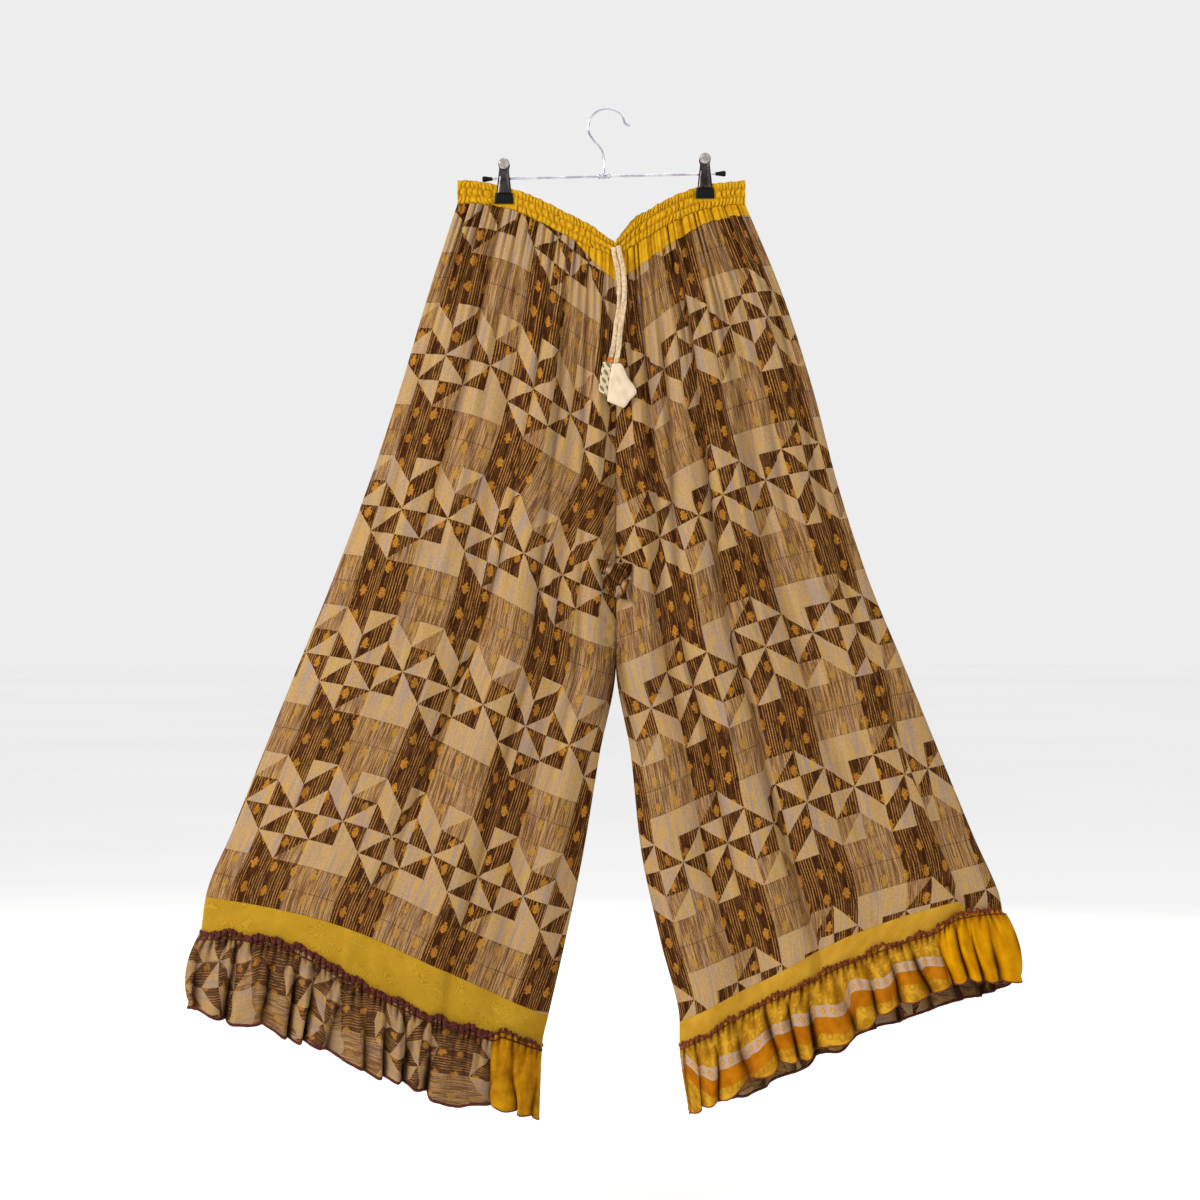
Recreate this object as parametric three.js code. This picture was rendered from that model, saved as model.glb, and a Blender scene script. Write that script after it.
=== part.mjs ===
// Wide-legged palazzo pants clipped to a trouser hanger.
// Units are millimetres. +Z is up, the front of the pants faces -Y, and left and right are the wearer's,
// so the right leg hangs at -X. The origin is the inside top of the hanger's hook, where a rod bears.
//
// The cloth is a set of thin walls. Each leg is described once, by a table of sections from the waist seam to
// the hem, and every panel, border and ruffle is a stretch of that description with its own thickness.

import * as THREE from 'three';

// Driving sizes
const CLOTH = 1.5;            // thickness of a wall of cloth
const LEG_LENGTH = 905;       // along the cloth, from the waist seam to the border
const SEAM = 0.3;             // gap between two pieces that are sewn together
const BAND_WIDTH = { right: 24.6, left: 28 };   // elastic casing of the waist, three stitched channels
const BAND_CHANNELS = 3;
const BAND_THICK = 4.6;       // casing with its elastic, at the top of a gather
const BAND_PINCHED = 2.6;     // the same, squeezed between the grips of a clip
const BAND_GATHERS = 20;      // gathers in the casing over one leg's front, or back
const PANEL_GATHERS = 9;      // soft folds that the gathers make in one panel
const PANEL_COLUMNS = 3 * PANEL_GATHERS;
const GATHER_DEPTH = 3.2;
const RUFFLE_WAVES = 14;      // waves of the frill over one leg's front, or back
const FRILL_HEAD = 7;         // the frill's own small heading above its seam
const HEAD_SWING = 1.2;
const FRILL_STANDOFF = 3.3;   // from the border's cloth to the frill's
const RUFFLE_SWING = 6.5;     // depth of a wave at the hem
const BACK_HEM_DROP = 22;     // how much lower the left leg's back hem hangs
const FRILL_JOIN = { right: 6 / 7, left: 3 / 14 };   // where each front frill's plain end piece is sewn on
const JOIN_GAP = 0.0004;

const BAR_RADIUS = 1.6;
const BAR_CENTRE = new THREE.Vector3(-3.5, 0, -79.9);
const BAR_HALF_LENGTH = 134;
const BAR_TILT = THREE.MathUtils.degToRad(1.32);   // the loaded hanger hangs a little lower on the right
const HOOK_WIRE = 1.5;        // radius of the wire
const HOOK_BEND = 22.5;       // radius of the hook at the middle of its wire
const CLIP_X = { right: -124.2, left: 118.2 };
const CLIP_TOP = { right: -59.2, left: -52.8 };
const JAW_LENGTH = 41;
const GRIP = { halfWidth: 11.3, height: 13, thick: 3.2 };

// One row for each section across a leg. along is the share of the way from the waist seam to the border, so
// the border and the frill lie past 1. outer is the side seam, and inner the centre seam, then the inseam.
// A section rises above the straight line between them by bow halfway, and by sway at its outer quarter.
const RIGHT_LEG = [
  { along: 0.00, outerX: -180.0, outerZ: -113.5, innerX: 10.8, innerZ: -178.0, bow: 12, sway: 5 },
  { along: 0.13, outerX: -216.0, outerZ: -225.1, innerX: 10.8, innerZ: -304.3, bow: 12, sway: 6 },
  { along: 0.26, outerX: -249.6, outerZ: -337.9, innerX: 10.8, innerZ: -425.5, bow: 12, sway: 6 },
  { along: 0.40, outerX: -286.2, outerZ: -448.9, innerX: 10.8, innerZ: -546.7, bow: 12, sway: 6 },
  { along: 0.53, outerX: -327.0, outerZ: -558.2, innerX: 10.8, innerZ: -666.7, bow: 12, sway: 6 },
  { along: 0.65, outerX: -367.8, outerZ: -659.5, innerX: -9.0, innerZ: -777.1, bow: 14, sway: 5 },
  { along: 0.78, outerX: -409.2, outerZ: -762.7, innerX: -27.6, innerZ: -889.9, bow: 17, sway: 4 },
  { along: 0.90, outerX: -450.0, outerZ: -865.9, innerX: -50.4, innerZ: -1002.7, bow: 20, sway: 4 },
  { along: 1.00, outerX: -483.6, outerZ: -948.7, innerX: -70.8, innerZ: -1092.7, bow: 23, sway: 4 },
  { along: 1.05, outerX: -489.6, outerZ: -992.0, innerX: -78.0, innerZ: -1126.3, bow: 17, sway: 14 },
  { along: 1.15, outerX: -505.2, outerZ: -1080.7, innerX: -81.6, innerZ: -1212.7, bow: -3, sway: 5 },
];
const LEFT_LEG = [
  { along: 0.00, outerX: 166.8, outerZ: -114.7, innerX: 10.8, innerZ: -178.0, bow: 15, sway: 2 },
  { along: 0.13, outerX: 212.4, outerZ: -225.1, innerX: 10.8, innerZ: -304.3, bow: 14, sway: 4 },
  { along: 0.26, outerX: 248.4, outerZ: -337.9, innerX: 10.8, innerZ: -425.5, bow: 12, sway: 5 },
  { along: 0.40, outerX: 278.4, outerZ: -453.1, innerX: 10.8, innerZ: -546.7, bow: 12, sway: 5 },
  { along: 0.53, outerX: 315.0, outerZ: -565.9, innerX: 10.8, innerZ: -666.7, bow: 12, sway: 5 },
  { along: 0.65, outerX: 356.4, outerZ: -666.7, innerX: 28.8, innerZ: -777.1, bow: 14, sway: 5 },
  { along: 0.78, outerX: 398.4, outerZ: -769.9, innerX: 40.8, innerZ: -889.9, bow: 17, sway: 6 },
  { along: 0.90, outerX: 441.2, outerZ: -874.3, innerX: 64.8, innerZ: -1002.7, bow: 20, sway: 6 },
  { along: 1.00, outerX: 474.0, outerZ: -951.0, innerX: 87.6, innerZ: -1098.7, bow: 22, sway: 7 },
  { along: 1.05, outerX: 477.6, outerZ: -972.0, innerX: 87.6, innerZ: -1127.5, bow: 19, sway: 4 },
  { along: 1.15, outerX: 499.2, outerZ: -1045.9, innerX: 98.4, innerZ: -1206.7, bow: 10, sway: 13 },
];
// How far the cloth stands from the middle plane down a leg: halfway across its front and back, and at the
// centre seam, which closes at the crotch
const FULLNESS = [
  { along: 0.00, front: 3, back: 3, centre: 4 },
  { along: 0.13, front: 15, back: 13, centre: 11 },
  { along: 0.26, front: 21, back: 18, centre: 16 },
  { along: 0.40, front: 25, back: 21, centre: 13 },
  { along: 0.53, front: 27, back: 23, centre: 0 },
  { along: 0.65, front: 28, back: 24, centre: 0 },
  { along: 0.78, front: 30, back: 26, centre: 0 },
  { along: 0.90, front: 31, back: 27, centre: 0 },
  { along: 1.00, front: 32, back: 28, centre: 0 },
  { along: 1.05, front: 33, back: 29, centre: 0 },
  { along: 1.15, front: 38, back: 34, centre: 0 },
];
const BORDER_START = 1.0;
const FRILL_SEAM = 1.05;
const HEM = 1.15;

// One row for each long fold. waist and hem are where it runs, as shares of the way from the side seam to the
// inner seam. depth is positive for a ridge that stands out and negative for a trough.
const FOLDS = {
  right_front: [
    { waist: 0.20, hem: 0.16, depth: 4.0, width: 0.060, from: 0.05, to: 0.75 },
    { waist: 0.47, hem: 0.50, depth: -6.0, width: 0.055, from: 0.05, to: 0.80 },
    { waist: 0.65, hem: 0.65, depth: 6.5, width: 0.065, from: 0.05, to: 1.15 },
    { waist: 0.79, hem: 0.80, depth: -6.0, width: 0.050, from: 0.05, to: 0.95 },
    { waist: 0.92, hem: 0.91, depth: 5.0, width: 0.045, from: 0.10, to: 1.15 },
  ],
  left_front: [
    { waist: 0.16, hem: 0.20, depth: 5.0, width: 0.055, from: 0.05, to: 1.15 },
    { waist: 0.34, hem: 0.36, depth: -7.0, width: 0.055, from: 0.05, to: 1.00 },
    { waist: 0.50, hem: 0.50, depth: 5.0, width: 0.050, from: 0.05, to: 0.90 },
    { waist: 0.64, hem: 0.66, depth: 7.0, width: 0.060, from: 0.05, to: 1.15 },
    { waist: 0.80, hem: 0.82, depth: -7.5, width: 0.055, from: 0.05, to: 1.10 },
    { waist: 0.92, hem: 0.92, depth: 4.5, width: 0.045, from: 0.10, to: 1.15 },
  ],
  right_back: [
    { waist: 0.24, hem: 0.20, depth: 5.0, width: 0.070, from: 0.05, to: 1.15 },
    { waist: 0.42, hem: 0.40, depth: -5.5, width: 0.055, from: 0.05, to: 0.90 },
    { waist: 0.60, hem: 0.58, depth: 6.0, width: 0.065, from: 0.05, to: 1.15 },
    { waist: 0.80, hem: 0.77, depth: -5.0, width: 0.055, from: 0.05, to: 1.00 },
  ],
  left_back: [
    { waist: 0.18, hem: 0.22, depth: 5.5, width: 0.065, from: 0.05, to: 1.15 },
    { waist: 0.38, hem: 0.42, depth: -6.0, width: 0.060, from: 0.05, to: 1.00 },
    { waist: 0.58, hem: 0.62, depth: 6.0, width: 0.065, from: 0.05, to: 1.15 },
    { waist: 0.78, hem: 0.80, depth: -5.0, width: 0.050, from: 0.05, to: 0.85 },
  ],
};

// Materials, one for each cloth and finish
const finish = (colour, roughness, metalness = 0) =>
  new THREE.MeshStandardMaterial({ color: colour, roughness, metalness });
const PRINT = finish(0x96703f, 0.75);
const YELLOW = finish(0xc8940f, 0.7);
const ORANGE = finish(0xc98606, 0.6);
const BROWN_FRILL = finish(0x7a5a3c, 0.75);
const CREAM = finish(0xcdbba3, 0.85);
const LEAF_PRINT = finish(0xb9b69a, 0.85);
const PATCH = finish(0xd87408, 0.8);
const CHROME = finish(0xb9bcc2, 0.2, 1);
const DARK_CHROME = finish(0x55504f, 0.25, 1);
const RUBBER = finish(0x111112, 0.6);

const pants = new THREE.Group();

function add(name, geometry, material) {
  const mesh = new THREE.Mesh(geometry, material);
  mesh.name = name;
  pants.add(mesh);
  return mesh;
}

// Interpolation helpers

const mix = (a, b, share) => a + (b - a) * share;
const ease = (low, high, value) => THREE.MathUtils.smoothstep(value, low, high);

// Reads a named column of a table at a place between its rows, on a smooth curve that never overshoots them.
function column(table, name, along) {
  const last = table.length - 1;
  let row = 0;
  while (row < last - 1 && along > table[row + 1].along) row++;
  const slope = (k) => (table[k + 1][name] - table[k][name]) / (table[k + 1].along - table[k].along);
  const tangent = (k) => {
    if (k === 0) return slope(0);
    if (k === last) return slope(last - 1);
    const before = slope(k - 1);
    const after = slope(k);
    return before * after <= 0 ? 0 : (2 * before * after) / (before + after);
  };
  const span = table[row + 1].along - table[row].along;
  const s = (along - table[row].along) / span;
  const rise = table[row + 1][name] - table[row][name];
  const near = tangent(row) * span;
  const far = tangent(row + 1) * span;
  return table[row][name] + s * (near + s * (3 * rise - 2 * near - far + s * (near + far - 2 * rise)));
}

// The outline of a leg, in the plane of the hanger, at a share across it
function outline(table, across, along) {
  const bow = column(table, 'bow', along) * Math.sin(Math.PI * across);
  const sway = column(table, 'sway', along) * Math.sin(2 * Math.PI * across);
  return {
    x: mix(column(table, 'outerX', along), column(table, 'innerX', along), across),
    z: mix(column(table, 'outerZ', along), column(table, 'innerZ', along), across) + bow + sway,
  };
}

// A side of a leg: its table, its folds and which way its outside faces
const side = (leg, face) => ({
  table: leg === 'right' ? RIGHT_LEG : LEFT_LEG,
  folds: FOLDS[`${leg}_${face}`],
  face,
  facing: face === 'front' ? -1 : 1,
  seamShift: leg === 'right' ? -SEAM / 2 : SEAM / 2,
  hemDrop: leg === 'left' && face === 'back' ? BACK_HEM_DROP : 0,
});

// How open the waist is between the clips, which pinch its front and back together
function waistOpening(across) {
  const pinch = Math.exp(-(((across - 0.3) / 0.13) ** 2));
  return mix(2.2, 6.5, ease(0.3, 1, across)) * (1 - 0.9 * pinch);
}

function foldDepth(folds, across, along) {
  let depth = 0;
  for (const fold of folds) {
    const where = mix(fold.waist, fold.hem, along);
    const reach = ease(fold.from, fold.from + 0.12, along) * (1 - ease(fold.to - 0.15, fold.to + 0.1, along));
    depth += fold.depth * reach * Math.exp(-(((across - where) / fold.width) ** 2));
  }
  return depth;
}

// A point in the middle of a leg's wall of cloth. wave is how far a frill swings there.
function legPoint(part, across, along, wave = 0) {
  const flat = outline(part.table, across, along);
  const clear = ease(0, 0.07, across) * ease(0, 0.07, 1 - across);
  const rounded = Math.pow(4 * across * (1 - across), 0.6);
  const halfway = column(FULLNESS, part.face, along) * rounded;
  const filled = halfway + column(FULLNESS, 'centre', along) * ease(0, 1, across);
  const falling = ease(0, 0.12, along);
  const gathers = GATHER_DEPTH * (1 - ease(0, 0.5, along))
    * (0.5 + 0.5 * Math.cos(2 * Math.PI * PANEL_GATHERS * across));
  const swing = wave * Math.cos(2 * Math.PI * RUFFLE_WAVES * across);
  const depth = (SEAM + CLOTH) / 2
    + mix(waistOpening(across) + 1.2, filled, falling)
    + clear * (gathers + foldDepth(part.folds, across, along) + swing);
  const drop = part.hemDrop * ease(0.95, HEM, along) * Math.sin(Math.PI * across);
  return new THREE.Vector3(flat.x + part.seamShift, part.facing * depth, flat.z - drop);
}

// Solid builders

// Turns a list of faces the right way out, from the sign of the volume that they enclose.
function closedGeometry(points, faces) {
  let volume = 0;
  for (const [a, b, c] of faces) volume += points[a].dot(points[b].clone().cross(points[c]));
  const index = faces.flatMap(([a, b, c]) => (volume > 0 ? [a, b, c] : [a, c, b]));
  const geometry = new THREE.BufferGeometry();
  geometry.setAttribute('position', new THREE.Float32BufferAttribute(points.flatMap((p) => p.toArray()), 3));
  geometry.setIndex(index);
  geometry.computeVertexNormals();
  return geometry;
}

// A wall of cloth or sheet metal, half its thickness to each side of surface(u, v). Its thickness runs in the
// Y and Z directions only along its u edges, so that it stays clear of the piece it is sewn to.
function wall(columns, rows, surface, thickness = CLOTH) {
  const step = 1e-3;
  const normalAt = (u, v) => {
    const du = surface(Math.min(1, u + step), v).sub(surface(Math.max(0, u - step), v));
    const dv = surface(u, Math.min(1, v + step)).sub(surface(u, Math.max(0, v - step)));
    const normal = du.cross(dv).normalize();
    normal.x *= ease(0, 0.05, u) * ease(0, 0.05, 1 - u);
    return normal.normalize();
  };
  const points = [];
  for (const half of [thickness / 2, -thickness / 2]) {
    for (let j = 0; j <= rows; j++) {
      for (let i = 0; i <= columns; i++) {
        const u = i / columns;
        const v = j / rows;
        points.push(surface(u, v).addScaledVector(normalAt(u, v), half));
      }
    }
  }
  const layer = (columns + 1) * (rows + 1);
  const at = (i, j, under) => j * (columns + 1) + i + (under ? layer : 0);
  const faces = [];
  const quad = (a, b, c, d) => faces.push([a, b, c], [a, c, d]);
  for (let j = 0; j < rows; j++) {
    for (let i = 0; i < columns; i++) {
      quad(at(i, j), at(i + 1, j), at(i + 1, j + 1), at(i, j + 1));
      quad(at(i, j, true), at(i, j + 1, true), at(i + 1, j + 1, true), at(i + 1, j, true));
    }
  }
  for (let i = 0; i < columns; i++) {
    quad(at(i, 0), at(i, 0, true), at(i + 1, 0, true), at(i + 1, 0));
    quad(at(i, rows), at(i + 1, rows), at(i + 1, rows, true), at(i, rows, true));
  }
  for (let j = 0; j < rows; j++) {
    quad(at(0, j), at(0, j + 1), at(0, j + 1, true), at(0, j, true));
    quad(at(columns, j), at(columns, j, true), at(columns, j + 1, true), at(columns, j + 1));
  }
  return closedGeometry(points, faces);
}

// A solid through closed sections that all have as many points, with a flat fan at each end
function loft(sections) {
  const points = sections.flat();
  const count = sections[0].length;
  const faces = [];
  for (let k = 0; k < sections.length - 1; k++) {
    for (let i = 0; i < count; i++) {
      const next = (i + 1) % count;
      const here = k * count;
      faces.push([here + i, here + next, here + count + next]);
      faces.push([here + i, here + count + next, here + count + i]);
    }
  }
  for (const [section, start, turn] of [[sections[0], 0, 1], [sections.at(-1), points.length - count, -1]]) {
    const middle = points.length;
    const centre = section.reduce((sum, p) => sum.add(p), new THREE.Vector3()).divideScalar(count);
    points.push(centre);
    for (let i = 0; i < count; i++) {
      const next = (i + 1) % count;
      faces.push(turn > 0 ? [middle, start + next, start + i] : [middle, start + i, start + next]);
    }
  }
  return closedGeometry(points, faces);
}

// Cloth

// Where a leg's panel starts below the waist seam: straight at the seam, or below a yellow yoke
const YOKES = {
  right: { start: 0.7, outer: 2, inner: 27 },
  left: { start: 0, outer: 13.5, inner: 26 },
};
const yokeDepth = (yoke, across) => mix(yoke.outer, yoke.inner, ease(yoke.start, 1, across)) / LEG_LENGTH;
const HALF_SEAM = SEAM / 2 / LEG_LENGTH;

function legPanel(leg, face) {
  const part = side(leg, face);
  const yoke = YOKES[leg];
  const top = (across) => {
    if (face === 'back' || across < yoke.start) return HALF_SEAM;
    return yokeDepth(yoke, across) + HALF_SEAM;
  };
  const surface = (u, v) => {
    const along = mix(top(u), BORDER_START - HALF_SEAM, Math.pow(v, 1.25));
    return legPoint(part, u, along);
  };
  add(`leg_${leg}_${face}`, wall(PANEL_COLUMNS, 9, surface), PRINT);
}

function yokePiece(leg) {
  const part = side(leg, 'front');
  const yoke = YOKES[leg];
  const columns = Math.round(PANEL_COLUMNS * (1 - yoke.start));
  const surface = (u, v) => {
    const across = mix(yoke.start, 1, u);
    return legPoint(part, across, mix(HALF_SEAM, yokeDepth(yoke, across) - HALF_SEAM, v));
  };
  add(`yoke_${leg}_front`, wall(columns, 1, surface), YELLOW);
}

function borderStrip(leg, face) {
  const part = side(leg, face);
  const surface = (u, v) => legPoint(part, u, mix(BORDER_START + HALF_SEAM, FRILL_SEAM - HALF_SEAM, v));
  add(`border_${leg}_${face}`, wall(PANEL_COLUMNS, 1, surface), YELLOW);
}

// A frill hangs outside its seam: its small heading stands in front of the border, and its waves swing below.
function ruffle(name, leg, face, start, end, material) {
  const part = side(leg, face);
  const waves = Math.round(RUFFLE_WAVES * (end - start));
  const headShare = FRILL_HEAD / LEG_LENGTH;
  const rows = [FRILL_SEAM - headShare, FRILL_SEAM + 0.008, mix(FRILL_SEAM, HEM, 0.5), HEM];
  const surface = (u, v) => {
    const across = mix(start, end, u);
    const place = Math.min(v * (rows.length - 1), rows.length - 1 - 1e-9);
    const row = Math.floor(place);
    const along = mix(rows[row], rows[row + 1], place - row);
    const hanging = ease(FRILL_SEAM, HEM, along);
    const point = legPoint(part, across, along, mix(HEAD_SWING, RUFFLE_SWING, hanging));
    point.y += part.facing * FRILL_STANDOFF;
    return point;
  };
  add(name, wall(waves * 4, rows.length - 1, surface), material);
}

// The casing's height where it slopes down to the centre, and where it is bunched at the centre itself
function bandHeight(part, leg, across) {
  const step = 0.02;
  const before = outline(part.table, Math.max(0, across - step), 0);
  const after = outline(part.table, Math.min(1, across + step), 0);
  const slant = Math.hypot(after.x - before.x, after.z - before.z) / Math.abs(after.x - before.x);
  const width = mix(BAND_WIDTH[leg], (BAND_WIDTH.right + BAND_WIDTH.left) / 2, ease(0.6, 1, across));
  return width * slant * (1 - 0.36 * ease(0.8, 1, across));
}

// The waist casing: a band with three puffed channels, gathered on its elastic
function waistband(face) {
  const facing = face === 'front' ? -1 : 1;
  const stations = [];
  for (const leg of ['right', 'left']) {
    const part = side(leg, face);
    const steps = 2 * BAND_GATHERS;
    for (let i = leg === 'right' ? 0 : 1; i <= steps; i++) {
      const across = leg === 'right' ? i / steps : 1 - i / steps;
      stations.push({ part, leg, across, crest: i % 2 === 1 });
    }
  }
  const sections = stations.map(({ part, leg, across, crest }) => {
    const foot = outline(part.table, across, 0);
    const pinched = 1 - ease(GRIP.halfWidth + 2, GRIP.halfWidth + 9, Math.abs(foot.x - CLIP_X[leg]));
    const puffed = BAND_THICK * (crest ? 1 : 0.8);
    const thick = mix(puffed, BAND_PINCHED, pinched);
    const inside = SEAM / 2 + waistOpening(across) * (1 - pinched);
    // The back of the casing rides a little higher than the front beside the centre of the waist.
    const lift = face === 'back' && leg === 'left' ? 6 * Math.exp(-(((across - 0.9) / 0.12) ** 2)) : 0;
    const lean = (crest ? 1 : -1) * 0.6;
    const level = (share) => foot.z + SEAM + lift + bandHeight(part, leg, across) * share;
    const section = [];
    const half = 1 / (2 * BAND_CHANNELS);
    for (let k = 0; k <= 2 * BAND_CHANNELS; k++) {
      const peak = k % 2 === 1;
      const bulge = mix(peak ? 1 : 0.55, 1, 0.8 * pinched);
      const x = foot.x + (peak ? lean : 0);
      section.push(new THREE.Vector3(x, facing * (inside + thick * bulge), level(k * half)));
    }
    section.push(new THREE.Vector3(foot.x, facing * inside, level(1)));
    section.push(new THREE.Vector3(foot.x, facing * inside, level(0)));
    return section;
  });
  add(`waistband_${face}`, loft(sections), YELLOW);
}

// Hanger

function wireCircle(radius, sides = 8) {
  const shape = new THREE.Shape();
  for (let k = 0; k < sides; k++) {
    const angle = (2 * Math.PI * k) / sides;
    const corner = [radius * Math.cos(angle), radius * Math.sin(angle)];
    if (k === 0) shape.moveTo(...corner);
    else shape.lineTo(...corner);
  }
  shape.closePath();
  return shape;
}

function hangerHook() {
  const bend = new THREE.Vector3(0, 0, HOOK_WIRE - HOOK_BEND);
  const stemX = BAR_CENTRE.x;
  const points = [
    new THREE.Vector3(stemX, 0, BAR_CENTRE.z + 4.4),
    new THREE.Vector3(stemX, 0, -62),
    new THREE.Vector3(stemX - 1.5, 0, -50),
    new THREE.Vector3(-14.4, 0, -38.5),
  ];
  for (let degrees = 190; degrees >= 20; degrees -= 17) {
    const angle = THREE.MathUtils.degToRad(degrees);
    points.push(new THREE.Vector3(Math.cos(angle), 0, Math.sin(angle)).multiplyScalar(HOOK_BEND).add(bend));
  }
  points.push(new THREE.Vector3(24.5, 0, -17.5), new THREE.Vector3(29, 0, -18.8));
  const path = new THREE.CatmullRomCurve3(points, false, 'centripetal');
  const geometry = new THREE.ExtrudeGeometry(wireCircle(HOOK_WIRE), { steps: 48, extrudePath: path });
  add('hanger_hook', geometry, CHROME);
}

// A solid turned about the hanger's bar, from a closed profile of [distance along the bar, radius] corners
function turnedOnBar(name, profile, place, sides, material) {
  const corners = profile.map(([along, radius]) => new THREE.Vector2(radius, along));
  if (corners[0].x > 0) corners.push(corners[0].clone());
  const geometry = new THREE.LatheGeometry(corners, sides);
  geometry.rotateZ(-Math.PI / 2);
  geometry.rotateY(-BAR_TILT);
  const mesh = add(name, geometry, material);
  const offset = place - BAR_CENTRE.x;
  mesh.position.set(place, 0, BAR_CENTRE.z + offset * Math.tan(BAR_TILT));
}

function hangerBar() {
  const bore = BAR_RADIUS + SEAM;
  const sleeve = (half, radius) => [[-half, bore], [-half, radius], [half, radius], [half, bore]];
  const rod = (half, radius) => [[-half, 0], [-half, radius], [half, radius], [half, 0]];
  turnedOnBar('hanger_bar', rod(BAR_HALF_LENGTH, BAR_RADIUS), BAR_CENTRE.x, 12, CHROME);
  turnedOnBar('hanger_sleeve', sleeve(7, 3.9), BAR_CENTRE.x, 16, CHROME);
  for (const [leg, way] of [['right', -1], ['left', 1]]) {
    const end = BAR_HALF_LENGTH + SEAM;
    const profile = [[0, 0], [0, 2.1], [4, 2.4], [10, 3.5], [12, 3.3], [12.8, 2.2], [12.8, 0]]
      .map(([along, radius]) => [way * along, radius]);
    // A mirrored profile runs the other way round, so it is read backwards to keep its faces outside.
    if (way < 0) profile.reverse();
    turnedOnBar(`bar_cap_${leg}`, profile, BAR_CENTRE.x + way * end, 12, RUBBER);
    turnedOnBar(`clip_${leg}_spring`, sleeve(4.5, 4.15), CLIP_X[leg], 12, CHROME);
  }
}

// Half width and distance from the middle plane of a clip's jaw, down from its round thumb plate
const JAW = [
  { along: 0.00, halfWidth: 1.6, out: 9.5 },
  { along: 0.04, halfWidth: 4.6, out: 9.4 },
  { along: 0.10, halfWidth: 6.3, out: 9.1 },
  { along: 0.17, halfWidth: 6.9, out: 8.6 },
  { along: 0.25, halfWidth: 6.2, out: 7.6 },
  { along: 0.31, halfWidth: 5.6, out: 6.6 },
  { along: 0.55, halfWidth: 6.6, out: 4.5 },
  { along: 0.80, halfWidth: 7.8, out: 4.7 },
  { along: 1.00, halfWidth: 8.6, out: 5.0 },
];

function clip(leg) {
  const centre = CLIP_X[leg];
  const top = CLIP_TOP[leg];
  const plate = 1.1;
  for (const [face, facing] of [['front', -1], ['back', 1]]) {
    const surface = (u, v) => {
      const spread = 2 * u - 1;
      const crown = 1.1 * (1 - spread * spread) * ease(0.25, 0.4, v);
      return new THREE.Vector3(
        centre + spread * column(JAW, 'halfWidth', v),
        facing * (column(JAW, 'out', v) + crown),
        top - v * JAW_LENGTH,
      );
    };
    add(`clip_${leg}_${face}_jaw`, wall(4, 11, surface, plate), DARK_CHROME);
    const inner = SEAM / 2 + BAND_PINCHED + SEAM;
    const grip = new THREE.Shape();
    grip.moveTo(-GRIP.halfWidth + 0.8, 0);
    grip.lineTo(GRIP.halfWidth - 0.8, 0);
    grip.lineTo(GRIP.halfWidth, -GRIP.height + 1.5);
    grip.lineTo(GRIP.halfWidth - 1.5, -GRIP.height);
    grip.lineTo(-GRIP.halfWidth + 1.5, -GRIP.height);
    grip.lineTo(-GRIP.halfWidth, -GRIP.height + 1.5);
    grip.closePath();
    const geometry = new THREE.ExtrudeGeometry(grip, { depth: GRIP.thick, bevelEnabled: false });
    geometry.rotateX(Math.PI / 2);
    const mesh = add(`clip_${leg}_${face}_grip`, geometry, RUBBER);
    const near = facing > 0 ? inner + GRIP.thick : -inner;
    mesh.position.set(centre, near, top - JAW_LENGTH - SEAM);
  }
}

// Drawstring: two flat cords come out of the casing at the centre front and hang beside each other.
const CORD = { width: 5.6, thick: 2.0 };
const CORDS = {
  right: [
    [7.8, -12.8, -167], [8.0, -14.4, -172], [9.0, -17.4, -178], [11.0, -19.4, -186], [13.0, -20.8, -196],
    [14.4, -22.0, -208], [15.2, -23.4, -220], [15.2, -24.8, -232], [14.2, -26.2, -244], [12.2, -27.5, -256],
    [10.4, -28.6, -268], [9.0, -29.5, -279], [7.6, -30.1, -288], [5.8, -30.6, -296], [4.4, -30.9, -302],
    [3.6, -31.0, -306],
  ],
  left: [
    [14.2, -12.8, -165], [14.4, -14.8, -170], [15.4, -18.6, -176], [17.4, -21.6, -184], [19.2, -23.4, -194],
    [20.4, -24.7, -206], [21.0, -26.0, -218], [20.8, -27.4, -230], [19.4, -28.8, -243], [17.6, -30.1, -256],
    [16.0, -31.2, -268], [14.8, -32.2, -280], [13.8, -32.9, -290], [12.6, -33.4, -298], [11.4, -33.7, -304],
    [10.6, -33.8, -308],
  ],
};

function drawstring(leg) {
  const path = new THREE.CatmullRomCurve3(CORDS[leg].map((p) => new THREE.Vector3(...p)));
  const sides = 8;
  const steps = 30;
  const sections = [];
  for (let k = 0; k <= steps; k++) {
    const centre = path.getPointAt(k / steps);
    const section = [];
    for (let i = 0; i < sides; i++) {
      const angle = (2 * Math.PI * (i + 0.5)) / sides;
      section.push(new THREE.Vector3(
        centre.x + (CORD.width / 2) * Math.cos(angle),
        centre.y + (CORD.thick / 2) * Math.sin(angle),
        centre.z,
      ));
    }
    sections.push(section);
  }
  add(`drawstring_${leg}`, loft(sections), CREAM);
}

// A cloth tab is a small square folded round the cord's end. corners are [x, z] from the top of the tab.
function tab(name, corners, top, depth, thick, material) {
  const shape = new THREE.Shape(corners.map(([x, z]) => new THREE.Vector2(x, z)));
  const geometry = new THREE.ExtrudeGeometry(shape, { depth: thick, bevelEnabled: false });
  geometry.rotateX(Math.PI / 2);
  const mesh = add(name, geometry, material);
  mesh.position.set(top.x, depth, top.z);
}

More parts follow.
